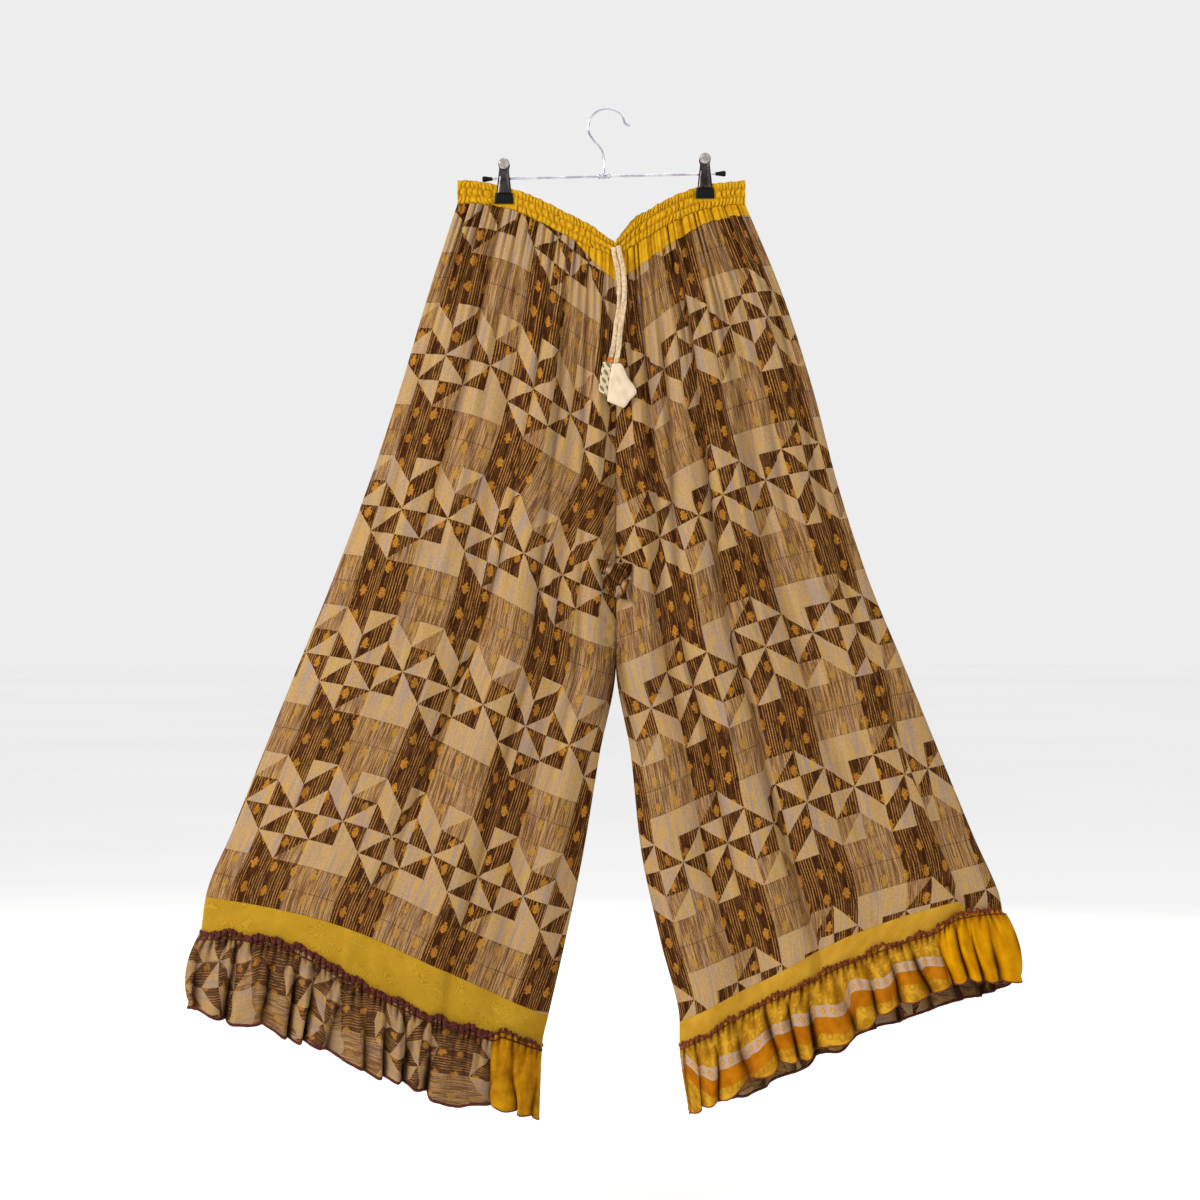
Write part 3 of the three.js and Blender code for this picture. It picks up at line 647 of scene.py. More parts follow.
# Long folds first, then narrow creases. Places are shares of the way from the side seam to the inner seam, at
# the waist and at the hem. A depth below 0 is a trough.
FOLDS = {                         # waist, hem, depth, width, from, to
    "right_front": [
        (0.20, 0.16, 4.0, 0.060, 0.05, 0.75),
        (0.47, 0.50, -6.0, 0.055, 0.05, 0.80),
        (0.65, 0.65, 6.5, 0.065, 0.05, 1.15),
        (0.79, 0.80, -6.0, 0.050, 0.05, 0.95),
        (0.92, 0.91, 5.0, 0.045, 0.10, 1.15),
        (0.10, 0.09, -2.2, 0.022, 0.04, 0.60),
        (0.29, 0.27, -3.4, 0.020, 0.02, 0.52),
        (0.36, 0.37, 3.0, 0.022, 0.02, 0.62),
        (0.64, 0.45, -4.2, 0.018, 0.04, 0.90),
        (0.60, 0.59, 2.6, 0.016, 0.02, 0.50),
        (0.71, 0.72, -4.2, 0.018, 0.03, 1.05),
        (0.85, 0.86, -3.4, 0.016, 0.03, 0.70),
        (0.97, 0.96, -2.6, 0.014, 0.05, 0.42),
        (0.44, 0.43, 2.4, 0.015, 0.55, 1.10),
    ],
    "left_front": [
        (0.16, 0.20, 5.0, 0.055, 0.05, 1.15),
        (0.34, 0.36, -7.0, 0.055, 0.05, 1.00),
        (0.50, 0.50, 5.0, 0.050, 0.05, 0.90),
        (0.64, 0.66, 7.0, 0.060, 0.05, 1.15),
        (0.80, 0.82, -7.5, 0.055, 0.05, 1.10),
        (0.92, 0.92, 4.5, 0.045, 0.10, 1.15),
        (0.08, 0.10, -3.0, 0.020, 0.03, 0.60),
        (0.24, 0.26, -2.6, 0.018, 0.03, 0.55),
        (0.29, 0.30, 3.2, 0.020, 0.04, 0.90),
        (0.42, 0.43, 2.8, 0.018, 0.03, 0.70),
        (0.56, 0.57, -6.0, 0.024, 0.03, 1.05),
        (0.72, 0.74, -3.8, 0.018, 0.05, 0.95),
        (0.76, 0.77, 3.6, 0.018, 0.05, 0.80),
        (0.87, 0.87, 2.6, 0.015, 0.04, 0.62),
    ],
    "right_back": [
        (0.24, 0.20, 5.0, 0.070, 0.05, 1.15),
        (0.42, 0.40, -5.5, 0.055, 0.05, 0.90),
        (0.60, 0.58, 6.0, 0.065, 0.05, 1.15),
        (0.80, 0.77, -5.0, 0.055, 0.05, 1.00),
        (0.13, 0.12, -3.0, 0.020, 0.03, 0.70),
        (0.33, 0.31, -3.4, 0.020, 0.03, 0.95),
        (0.51, 0.50, 3.0, 0.018, 0.03, 0.60),
        (0.69, 0.67, -3.8, 0.020, 0.03, 1.05),
        (0.90, 0.88, 3.0, 0.020, 0.03, 0.75),
    ],
    "left_back": [
        (0.18, 0.22, 5.5, 0.065, 0.05, 1.15),
        (0.38, 0.42, -6.0, 0.060, 0.05, 1.00),
        (0.58, 0.62, 6.0, 0.065, 0.05, 1.15),
        (0.78, 0.80, -5.0, 0.050, 0.05, 0.85),
        (0.10, 0.12, -3.2, 0.020, 0.03, 0.65),
        (0.28, 0.31, 3.2, 0.020, 0.03, 0.90),
        (0.48, 0.51, -3.6, 0.018, 0.03, 1.05),
        (0.68, 0.70, -3.0, 0.020, 0.03, 0.60),
        (0.90, 0.90, 3.0, 0.020, 0.03, 0.80),
    ],
}
print("tables for", ", ".join(FOLDS))

# %% [markdown]
# ## Reading the tables
#
# Three small functions are used everywhere: a mix of two values, an eased step, and a smooth curve
# through a table's column. A fourth makes slow random waves from seeded numbers, so every run gives the
# same crumples.

# %% Reading a table, and smooth random waves


def mix(low, high, share):
    """low where the share is 0 and high where it is 1."""
    return low + (high - low) * share


def ease(low, high, value):
    """A smooth rise from 0 at low to 1 at high."""
    share = np.clip((np.asarray(value, float) - low) / (high - low), 0, 1)
    return share * share * (3 - 2 * share)


def column(rows, names, name, along):
    """One column of a table at any place between its rows, on a curve that never overshoots them."""
    table = np.array(rows, float)
    place, value = table[:, 0], table[:, names.index(name)]
    slope = np.diff(value) / np.diff(place)
    before, after = slope[:-1], slope[1:]
    total = np.where(before * after > 0, before + after, 1.0)
    inner = np.where(before * after > 0, 2 * before * after / total, 0.0)
    tangent = np.concatenate([slope[:1], inner, slope[-1:]])
    k = np.clip(np.searchsorted(place, along, side="left") - 1, 0, len(place) - 2)
    span = place[k + 1] - place[k]
    s = (along - place[k]) / span
    rise = value[k + 1] - value[k]
    near, far = tangent[k] * span, tangent[k + 1] * span
    return value[k] + s * (near + s * (3 * rise - 2 * near - far + s * (near + far - 2 * rise)))


LATTICE = 64


def ripple(seed, x, y):
    """Smooth heights from -1 to 1 that change about once for each whole number of x or y."""
    heights = np.random.default_rng(seed).uniform(-1, 1, (LATTICE, LATTICE))
    i, j = np.floor(x).astype(int), np.floor(y).astype(int)
    s, t = x - i, y - j
    s, t = s**3 * (s * (s * 6 - 15) + 10), t**3 * (t * (t * 6 - 15) + 10)

    def at(a, b):
        return heights[a % LATTICE, b % LATTICE]

    return mix(mix(at(i, j), at(i + 1, j), s), mix(at(i, j + 1), at(i + 1, j + 1), s), t)


print("table reader ready")

# %% [markdown]
# ## From a sheet of points to a shell of cloth
#
# Cloth is a closed shell about 0.7 mm thick, so that light and shadow fall on it as on the real thing and
# nothing is see-through from behind. Two grids of points, the outside and the inside, are joined along
# their rim. Each point also carries its print coordinates, and how much shade is painted on it.

# %% Building a shell


def grid_quads(index):
    return np.stack([index[:-1, :-1], index[:-1, 1:], index[1:, 1:], index[1:, :-1]], axis=-1).reshape(-1, 4)


def shell(name, outside, inside, prints=None, sharp=55):
    """A closed mesh between two grids of points in millimetres."""
    rows, columns = outside.shape[:2]
    count = rows * columns
    index = np.arange(count).reshape(rows, columns)
    rim = np.concatenate([index[0], index[1:, -1], index[-1, -2::-1], index[-2:0:-1, 0]])
    after = np.roll(rim, -1)
    quads = np.concatenate([
        grid_quads(index),
        grid_quads(index + count)[:, ::-1],
        np.stack([after, rim, rim + count, after + count], axis=1),
    ])
    points = np.concatenate([outside.reshape(-1, 3), inside.reshape(-1, 3)]) * MM
    corners = points[quads]
    volume = np.einsum("ij,ij->i", corners[:, 0], np.cross(corners[:, 1], corners[:, 2])).sum()
    volume += np.einsum("ij,ij->i", corners[:, 0], np.cross(corners[:, 2], corners[:, 3])).sum()
    if volume < 0:
        quads = quads[:, ::-1]
    mesh = bpy.data.meshes.new(name)
    mesh.from_pydata(points.tolist(), [], quads.tolist())
    mesh.polygons.foreach_set("use_smooth", np.ones(len(quads), bool))
    mesh.set_sharp_from_angle(angle=math.radians(sharp))
    if prints is not None:
        # The print mark holds the print coordinates and, as its third number, the painted shade.
        mark = mesh.attributes.new("print", "FLOAT_VECTOR", "POINT")
        both = np.concatenate([prints.reshape(-1, 3), prints.reshape(-1, 3)])
        mark.data.foreach_set("vector", both.astype(np.float32).ravel())
    mesh.update()
    return add_object(name, mesh)


def turn(sides):
    """The angles of a whole turn in equal steps."""
    return np.linspace(0, 2 * np.pi, sides + 1)[:-1]


def ring_shell(name, rings, sharp=None, inside_out=False):
    """A closed mesh round a row of rings of points in millimetres, with a flat cap at each end."""
    count, sides = rings.shape[:2]
    index = np.arange(count * sides).reshape(count, sides)
    after = np.roll(index, -1, axis=1)
    quads = np.stack([index[:-1], after[:-1], after[1:], index[1:]], axis=-1).reshape(-1, 4)
    faces = [*quads.tolist(), index[0][::-1].tolist(), index[-1].tolist()]
    if inside_out:
        faces = [face[::-1] for face in faces]
    mesh = bpy.data.meshes.new(name)
    mesh.from_pydata((rings.reshape(-1, 3) * MM).tolist(), [], faces)
    mesh.polygons.foreach_set("use_smooth", np.ones(len(faces), bool))
    if sharp:
        mesh.set_sharp_from_angle(angle=math.radians(sharp))
    return add_object(name, mesh)


def grid_normals(points):
    """The direction in which each point of a grid faces."""
    normal = np.cross(np.gradient(points, axis=1), np.gradient(points, axis=0))
    return normal / np.maximum(np.linalg.norm(normal, axis=2, keepdims=True), 1e-9)


def sheet_shell(name, points, thickness, prints):
    """A shell of even thickness about a grid of points."""
    offset = grid_normals(points) * thickness / 2
    return shell(name, points + offset, points - offset, prints)


def distances(points, axis=0):
    """How far it is along each row of points, from 0 at the first one."""
    steps = np.linalg.norm(np.diff(points, axis=axis), axis=-1)
    return np.concatenate([np.zeros_like(steps.take([0], axis)), np.cumsum(steps, axis)], axis)


def declare_sheet(piece, points, held, **more):
    """Says the flat cut of a sheet, measured on its own grid: its longest row and longest column, and its
    area.
    """
    flat = tuple(round(distances(points, axis).max() * MM, 3) for axis in (1, 0))
    across = points[:-1, 1:] - points[:-1, :-1]
    down = points[1:, :-1] - points[:-1, :-1]
    area = np.linalg.norm(np.cross(across, down), axis=2).sum() * MM * MM
    area = min(area, flat[0] * flat[1])
    print(piece.name, "is cut from", flat, "metres, and its area is", round(area, 4))


def settle(piece, slot, material, *nodes):
    """Gives a piece its finish and its place in the model."""
    piece.data.materials.append(material)
    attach(piece, "root")
    if nodes:
        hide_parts(*nodes)
    return piece


triangles = {}


def count_triangles(piece):
    """Adds a piece's triangles to the total, and says them."""
    piece.data.calc_loop_triangles()
    triangles[piece.name] = len(piece.data.loop_triangles)
    return triangles[piece.name]


print("shell builder ready")

# %% [markdown]
# ## How the cloth hangs
#
# Below the casing the cloth is gathered, so it falls in small soft folds that die out on the way down.
# Longer folds run on to the hem. Everything is a height above the smooth form, so the same sum serves the
# legs, the borders and the frills, and pieces meet at their seams.

# %% The drape of a leg
CLOTH = 0.7
CROTCH = 0.50                     # where the inner seams part, as a share of the leg's length
FACING = {"front": -1, "back": 1}
SEED = {"right_front": 11, "left_front": 23, "right_back": 37, "left_back": 41}


def waist_opening(across):
    """Half the gap between front and back at the waist, nearly closed where the clips pinch it."""
    pinch = np.exp(-(((across - 0.3) / 0.13) ** 2))
    return mix(2.2, 6.5, ease(0.3, 1, across)) * (1 - 0.9 * pinch)


def fold_heights(key, across, along):
    """The long folds and narrow creases of the table, each on its wandering way down."""
    height = np.zeros_like(across)
    for waist, hem, depth, width, start, stop in FOLDS[key]:
        drift = ripple(SEED[key] + int(waist * 100), along * 5, along * 0 + waist * 40)
        where = mix(waist, hem, along) + 0.012 * drift
        reach = ease(start, start + 0.12, along) * (1 - ease(stop - 0.15, stop + 0.1, along))
        away = (across - where) / width
        height += depth * reach * np.exp(-np.abs(away) ** 1.7)
    return height


def gather_heights(key, across, along):
    """Soft folds under the waist, and the fine puckers at its seam."""
    seed = SEED[key]
    drift = across + 0.010 * ripple(seed, across * 7, along * 4)
    broad = GATHER_DEPTH * (1 - ease(0, 0.5, along)) * (0.5 + 0.5 * np.cos(2 * np.pi * PANEL_GATHERS * drift))
    medium_phase = 2 * np.pi * 21 * across + 2.4 * ripple(seed + 1, across * 9, along * 3)
    uneven = 1 + 0.5 * ripple(seed + 2, across * 8, along * 6)
    medium = 1.5 * (1 - ease(0.02, 0.30, along)) * np.cos(medium_phase) * uneven
    fine_phase = 2 * np.pi * 39 * across + 2.2 * ripple(seed + 3, across * 15, along * 5)
    fine = 0.9 * (1 - ease(0.0, 0.09, along)) * np.cos(fine_phase)
    return broad + medium + fine


def wrinkle_heights(key, across, along):
    """Fine wrinkles, and the creases that spread from the place where the legs part."""
    seed = SEED[key]
    long_ones = 1.1 * ripple(seed + 4, across * 17 + 2 * along, along * 4)
    short_ones = 0.5 * ripple(seed + 5, across * 30, along * 15)
    cross_ones = 0.45 * ripple(seed + 6, across * 6 + along * 5, along * 34) * ease(0.1, 0.4, along)
    sideways, below = (1 - across) * 4.0, (along - CROTCH) * 9
    spokes = np.cos(13 * np.arctan2(below, sideways + 0.05))
    return long_ones + short_ones + cross_ones + 2.4 * spokes * np.exp(-np.hypot(sideways, below) * 2.4)


def cloth_heights(key, across, along):
    """How far the cloth stands out from its smooth form, with every gather, fold and wrinkle."""
    gathered = gather_heights(key, across, along) + fold_heights(key, across, along)
    return gathered + wrinkle_heights(key, across, along)


def hollows(heights, reach, scale):
    """How far each height lies below its neighbours in the row, from 0 to 1."""
    kernel = np.ones(2 * reach + 1) / (2 * reach + 1)
    padded = np.pad(heights, ((0, 0), (reach, reach)), mode="edge")
    around = np.array([np.convolve(row, kernel, mode="valid") for row in padded])
    return np.clip((around - heights) / scale, 0, 1)


def leg_outline(leg, across, along):
    """Where the smooth form of a leg lies from left to right, and how high."""
    outer_x, outer_z, inner_x, inner_z, bow, sway = [
        column(LEGS[leg], LEG_COLUMNS, name, along) for name in LEG_COLUMNS[1:]
    ]
    z = mix(outer_z, inner_z, across)
    return mix(outer_x, inner_x, across), z + bow * np.sin(np.pi * across) + sway * np.sin(2 * np.pi * across)


def drape(leg, face, across, along, swing=0.0):
    """Points on the middle of the cloth, in millimetres."""
    x, z = leg_outline(leg, across, along)
    x = x + (-SEAM / 2 if leg == "right" else SEAM / 2)
    clear = ease(0, 0.07, across) * ease(0, 0.07, 1 - across)
    rounded = np.maximum(4 * across * (1 - across), 0) ** 0.6
    filled = column(FULLNESS, FULLNESS_COLUMNS, face, along) * rounded
    filled = filled + column(FULLNESS, FULLNESS_COLUMNS, "centre", along) * ease(0, 1, across)
    heights = cloth_heights(f"{leg}_{face}", across, along) + swing
    depth = CLOTH / 2 + 0.1 + mix(waist_opening(across) + 1.2, filled, ease(0, 0.12, along)) + clear * heights
    if leg == "left" and face == "back":
        z = z - BACK_HEM_DROP * ease(0.95, HEM, along) * np.sin(np.pi * across)
    return np.stack([x, FACING[face] * depth, z], axis=-1)


def along_row(points):
    """How far along its row each point of a grid is, as a share of the row's whole length."""
    total = distances(points, 1)
    return total / total[:, -1:]


print("drape ready")

# %% [markdown]
# ## Legs, yokes and borders
#
# The print of the left leg was cut the other way up, so its coordinate down the cloth runs backwards.
# Each panel says where its pattern starts. Cloth keeps its length when it hangs in folds, so a panel
# shows less of the print than it holds: a table of tucks says which folds hide the rest. A small knot of
# cloth covers the corner where both legs meet.

# %% The panels
PRINT_START = {                   # from the waist seam down to a pinwheel, and which way the pattern runs
    "right_front": (189.0, 1),
    "left_front": (143.0, -1),
    "right_back": (120.0, -1),
    "left_back": (168.0, 1),
}
CUT_COLUMNS = ("along", "start", "width")
CUT = {                           # a pinwheel's distance from the side seam, and the cloth's whole width
    "right_front": [(0.00, 50, 285), (0.27, 51, 320), (0.45, 57, 392),
                    (0.64, 67, 420), (0.87, 65, 442), (1.00, 65, 458)],
    "left_front": [(0.00, 40, 285), (0.27, 42, 325), (0.45, 43, 375),
                   (0.64, 56, 408), (0.87, 98, 462), (1.00, 113, 480)],
    "right_back": [(0.00, 38, 285), (0.45, 42, 370), (1.00, 60, 450)],
    "left_back": [(0.00, 70, 285), (0.45, 74, 370), (1.00, 90, 450)],
}
SLIPS = {                         # from, to, and how many millimetres the pattern slips down on the way
    "right_front": ((0.40, 1.0, 26),),
    "left_front": ((0.0, 1.0, 4), (0.555, 0.575, 12), (0.58, 1.0, 12)),
    "right_back": ((0.40, 1.0, 20),),
    "left_back": ((0.40, 1.0, 20),),
}
PINWHEEL = (CELL_WIDTH, CELL_HEIGHT * 2)
TUCKS = {                         # waist, hem, and each tuck's part of the cloth that the lower folds hide
    "right_front": (
        (0.08, 0.06, 0.3), (0.17, 0.16, 0.4), (0.28, 0.26, 0.8), (0.38, 0.36, 0.4), (0.46, 0.40, 0.4),
        (0.64, 0.45, 4.0), (0.70, 0.62, 0.4), (0.78, 0.72, 0.8), (0.86, 0.80, 1.2), (0.95, 0.94, 0.5),
    ),
    "left_front": (
        (0.07, 0.09, 0.4), (0.15, 0.18, 0.4), (0.24, 0.26, 0.5), (0.34, 0.36, 1.0), (0.45, 0.46, 0.4),
        (0.56, 0.57, 8.0), (0.64, 0.66, 0.4), (0.72, 0.74, 0.8), (0.80, 0.82, 1.6), (0.91, 0.92, 0.4),
    ),
    "right_back": (
        (0.13, 0.12, 0.6), (0.33, 0.31, 1.0), (0.42, 0.40, 2.0), (0.54, 0.53, 0.4), (0.69, 0.67, 1.0),
        (0.80, 0.77, 2.0), (0.92, 0.91, 0.5),
    ),
    "left_back": (
        (0.10, 0.12, 0.8), (0.24, 0.27, 0.4), (0.38, 0.42, 2.0), (0.48, 0.51, 1.0), (0.68, 0.70, 1.0),
        (0.78, 0.80, 2.0), (0.92, 0.91, 0.5),
    ),
}
YOKES = {"right": (0.7, 2.0, 27.0), "left": (0.0, 13.5, 26.0)}   # from, outer height and inner height


def print_place(leg, face, points, across, along, painted_shade):
    """Print coordinates. Cloth keeps its length, so what the panel has to spare is hidden in the tucks."""
    key = f"{leg}_{face}"
    down_start, way = PRINT_START[key]
    start, width = [column(CUT[key], CUT_COLUMNS, name, along) for name in CUT_COLUMNS[1:]]
    share = along_row(points)
    seen = points[..., [0, 2]]
    hidden = np.clip(width - distances(seen, 1)[:, -1:], 0, None)
    lower = ease(0.15, 0.55, along)
    taken, total = np.zeros_like(share), np.zeros_like(share)
    for waist, hem, part in TUCKS[key]:
        place = mix(waist, hem, along)
        size = mix(1.0, part, lower)
        taken += size * ease(place - 0.005, place + 0.005, across)
        total += size
    run = share * (width - hidden) + hidden * taken / total
    fall = along[0] * LEG_LENGTH + distances(seen)
    for low, high, slip in SLIPS[key]:
        fall = fall - slip * ease(low, high, across)
    return np.stack([run - start + PINWHEEL[0], (fall - down_start) * way + PINWHEEL[1], painted_shade], axis=-1)


def panel_grid(columns, rows):
    """Shares of the way across and down a panel, for each point of a grid."""
    across, down = np.meshgrid(np.linspace(0, 1, columns + 1), np.linspace(0, 1, rows + 1))
    return across, down


def yoke_depth(leg, across):
    """How far the yellow yoke reaches down, as a share of the leg's length. Its edge is jagged."""
    start, outer, inner = YOKES[leg]
    jagged = 1.3 * ripple(17, across * 34, across * 0) * ease(start, start + 0.05, across)
    rise = ease(0, 1, across) if leg == "left" else np.clip((across - 0.76) / 0.24, 0, 1) ** 0.9
    return (mix(outer, inner, rise) + jagged) / LEG_LENGTH


HALF_SEAM = SEAM / 2 / LEG_LENGTH


def leg_painted_shade(leg, face, across, along):
    """Painted shade of a leg panel: in narrow gathers and wide folds, and a painted shadow where the legs
    part.
    """
    heights = cloth_heights(f"{leg}_{face}", across, along)
    wide = across.shape[1] // 16
    # A painted shadow in the gap where the front panels part below the crotch.
    painted_crotch_shadow = 0.9 * np.exp(-(((along - 0.565) / 0.055) ** 2)) * ease(0.95, 1, across) * (face == "front")
    narrow = max(2, wide // 5)
    return np.clip(painted_crotch_shadow + 0.6 * hollows(heights, wide, 6.5) + 0.6 * hollows(heights, narrow, 2.2), 0, 1)


def leg_sheet(name, leg, face, across, along, slot, finish, node, held="hung"):
    """A sheet of cloth on the leg's form, with its print, its place in the model and its flat size."""
    points = drape(leg, face, across, along)
    prints = print_place(leg, face, points, across, along, leg_painted_shade(leg, face, across, along))
    piece = sheet_shell(name, points, CLOTH, prints)
    settle(piece, slot, finish, node)
    declare_sheet(piece, points, held)
    return piece


def leg_panel(leg, face):
    fine = (240, 150) if face == "front" else (130, 120)
    across, down = panel_grid(*fine)
    top = np.full_like(across, HALF_SEAM)
    if face == "front":
        top = np.where(across < YOKES[leg][0], top, yoke_depth(leg, across) + HALF_SEAM)
    along = mix(top, BORDER_START + hang(f"{leg}_{face}", "border", across) - HALF_SEAM, down**1.15)
    name, node = f"{leg}_{face}_leg", f"leg_{leg}_{face}"
    return leg_sheet(name, leg, face, across, along, "printed_cloth", PRINTED, node)


def yoke_piece(leg):
    across, down = panel_grid(200, 8)
    across = mix(YOKES[leg][0], 1, across)
    along = mix(HALF_SEAM, yoke_depth(leg, across) - HALF_SEAM, down)
    name, node = f"{leg}_yoke", f"yoke_{leg}_front"
    return leg_sheet(name, leg, "front", across, along, "border_yellow", WAIST_YELLOW, node, "gathered")


HANG_COLUMNS = ("across", "border", "heading", "hem")
HANG = {                          # how far each edge hangs below an even line
    "right_front": [
        (0.00, 0, 9, 3), (0.10, 0, 7, 0), (0.25, 0, 9, -4), (0.45, -1, 17, -3), (0.62, 0, 15, 1),
        (0.80, 0, 10, 3), (0.90, 0, 9, -2), (1.00, 0, 11, 2),
    ],
    "left_front": [               # the printed leg covers the border behind the orange end
        (0.00, 38, 3, 3), (0.115, 36, 0, -8), (0.125, -5, -1, -9), (0.15, -6, -3, -12), (0.25, -3, 1, -9),
        (0.40, -4, 0, -11), (0.50, -8, -3, -8), (0.60, -8, -3, -15), (0.74, -6, -2, -19), (0.81, -5, -1, -14),
        (0.91, -2, 5, -4), (1.00, 2, 8, 2),
    ],
    "right_back": [
        (0.00, 0, 9, 1), (0.10, 0, 7, -2), (0.25, 0, 9, -6), (0.45, -1, 14, -5), (0.62, 0, 13, -3),
        (0.80, 0, 9, 0), (0.90, 0, 9, -4), (1.00, 0, 11, 0),
    ],
    "left_back": [
        (0.00, -3, 3, 4), (0.12, -5, -1, 14), (0.30, -3, 1, 2), (0.50, -7, -3, -9), (0.70, -6, -2, -11),
        (0.85, -4, 1, -4), (1.00, 2, 8, 1),
    ],
}


def hang(key, name, across):
    """One column of the table above, as a share of the leg's length."""
    return column(HANG[key], HANG_COLUMNS, name, across) / LEG_LENGTH


def border_strip(leg, face):
    """The yellow strip between the printed leg and the frill."""
    across, down = panel_grid(200, 8)
    key = f"{leg}_{face}"
    top = BORDER_START + hang(key, "border", across) + HALF_SEAM
    along = mix(top, FRILL_SEAM + hang(key, "heading", across), down)
    name, node = f"{leg}_{face}_border", f"border_{leg}_{face}"
    finish = BORDER_YELLOW if leg == "right" else BORDER_PALE
    return leg_sheet(name, leg, face, across, along, "border_yellow", finish, node)


KNOT_X, KNOT_Z = 12.0, -567.0
KNOT_REACH = (17.0, 22.0)


def gusset():
    """A knot of small folds in front of the place where the seams of both legs meet."""
    right, down = panel_grid(44, 52)
    right, low = right * 2 - 1, down * 2 - 1
    spread = np.sqrt(right**2 + low**2 - right**2 * low**2 * 0.9)
    x = KNOT_X + KNOT_REACH[0] * right * (1 - 0.25 * low) + 3.0 * low
    z = KNOT_Z - KNOT_REACH[1] * low - 3.0 * right
    near, below = panel_grid(40, 90)
    sides = [drape(leg, "front", mix(0.8, 1, near), mix(0.35, 0.65, below)) for leg in ("right", "left")]
    cloth = np.concatenate([side.reshape(-1, 3) for side in sides])
    cloth = cloth[np.abs(cloth[:, 0] - KNOT_X) < 22]
    rows = z[:, 0]
    front = [cloth[np.abs(cloth[:, 2] - level) < 6, 1].min() for level in rows]
    depth = np.polyval(np.polyfit(rows, front, 2), z)
    along_fold = 0.8 * right + 0.6 * low
    over_fold = 0.8 * low - 0.6 * right + 0.35 * ripple(91, right * 2.2, low * 2.2)
    ridges = 1 - np.abs(np.sin(over_fold * 4.6 + 0.8 * ripple(92, along_fold * 3, over_fold * 2)))
    puffed = np.clip(1 - spread**2, 0, 1) ** 0.5
    lift = 0.8 + puffed * (1.6 + 3.4 * ridges)
    points = np.stack([x, depth - lift, z], axis=-1)
    # Shade is painted between the little ridges and towards the knot's rim.
    painted_shade = np.clip(0.9 - ridges * 1.1 + 0.5 * (1 - puffed), 0, 1)
    prints = np.stack([49 + 20 * right + 12 * low, 32 + 18 * over_fold + 14 * right, painted_shade], axis=-1)
    piece = sheet_shell("gusset", points, CLOTH, prints)
    settle(piece, "printed_cloth", PRINTED)
    declare_sheet(piece, points, "gathered")
    return piece


for leg in ("right", "left"):
    print(yoke_piece(leg).name)
    for face in ("front", "back"):
        panel = leg_panel(leg, face)
        border = border_strip(leg, face)
        print(panel.name, count_triangles(panel), "triangles;", border.name, count_triangles(border))
knot = gusset()
print(knot.name, count_triangles(knot), "triangles")

# %% [markdown]
# ## Frills
#
# A frill is a strip half as long again as the hem, gathered along a line a finger's breadth below its top
# edge. Close to that line the cloth is in many tight little pleats, which join into fewer and larger ones
# towards the free edge. Some of those lean over their neighbours. The same numbers place both edges'
# overlocking, so thread follows cloth.

# %% The frills
FRILLS = [                        # leg, face, end piece, from, to, slot, finish, whether it prints sideways
    ("right", "front", "", 0, 6 / 7, "frill_brown", PRINTED_FRILL, True),
    ("right", "front", "_end", 6 / 7, 1, "border_yellow", INSERT_GOLD, False),
    ("left", "front", "", 3 / 14, 1, "frill_striped", STRIPED, False),
    ("left", "front", "_end", 0, 3 / 14, "frill_orange", ORANGE, False),
    ("right", "back", "", 0, 1, "frill_brown", PRINTED_FRILL, True),
    ("left", "back", "", 0, 1, "frill_brown", PRINTED_FRILL, True),
]
FRILL_CUT = PANEL_WIDTH * 1.6
FRILL_DROP = 96
STITCH = 1.7                      # from one stitch of the overlocking to the next
END_FORWARD = 1.6                 # how far an end piece lies in front of its frill
FRILL_FOLDS = {"right_front": 12, "left_front": 15, "right_back": 14, "left_back": 14}


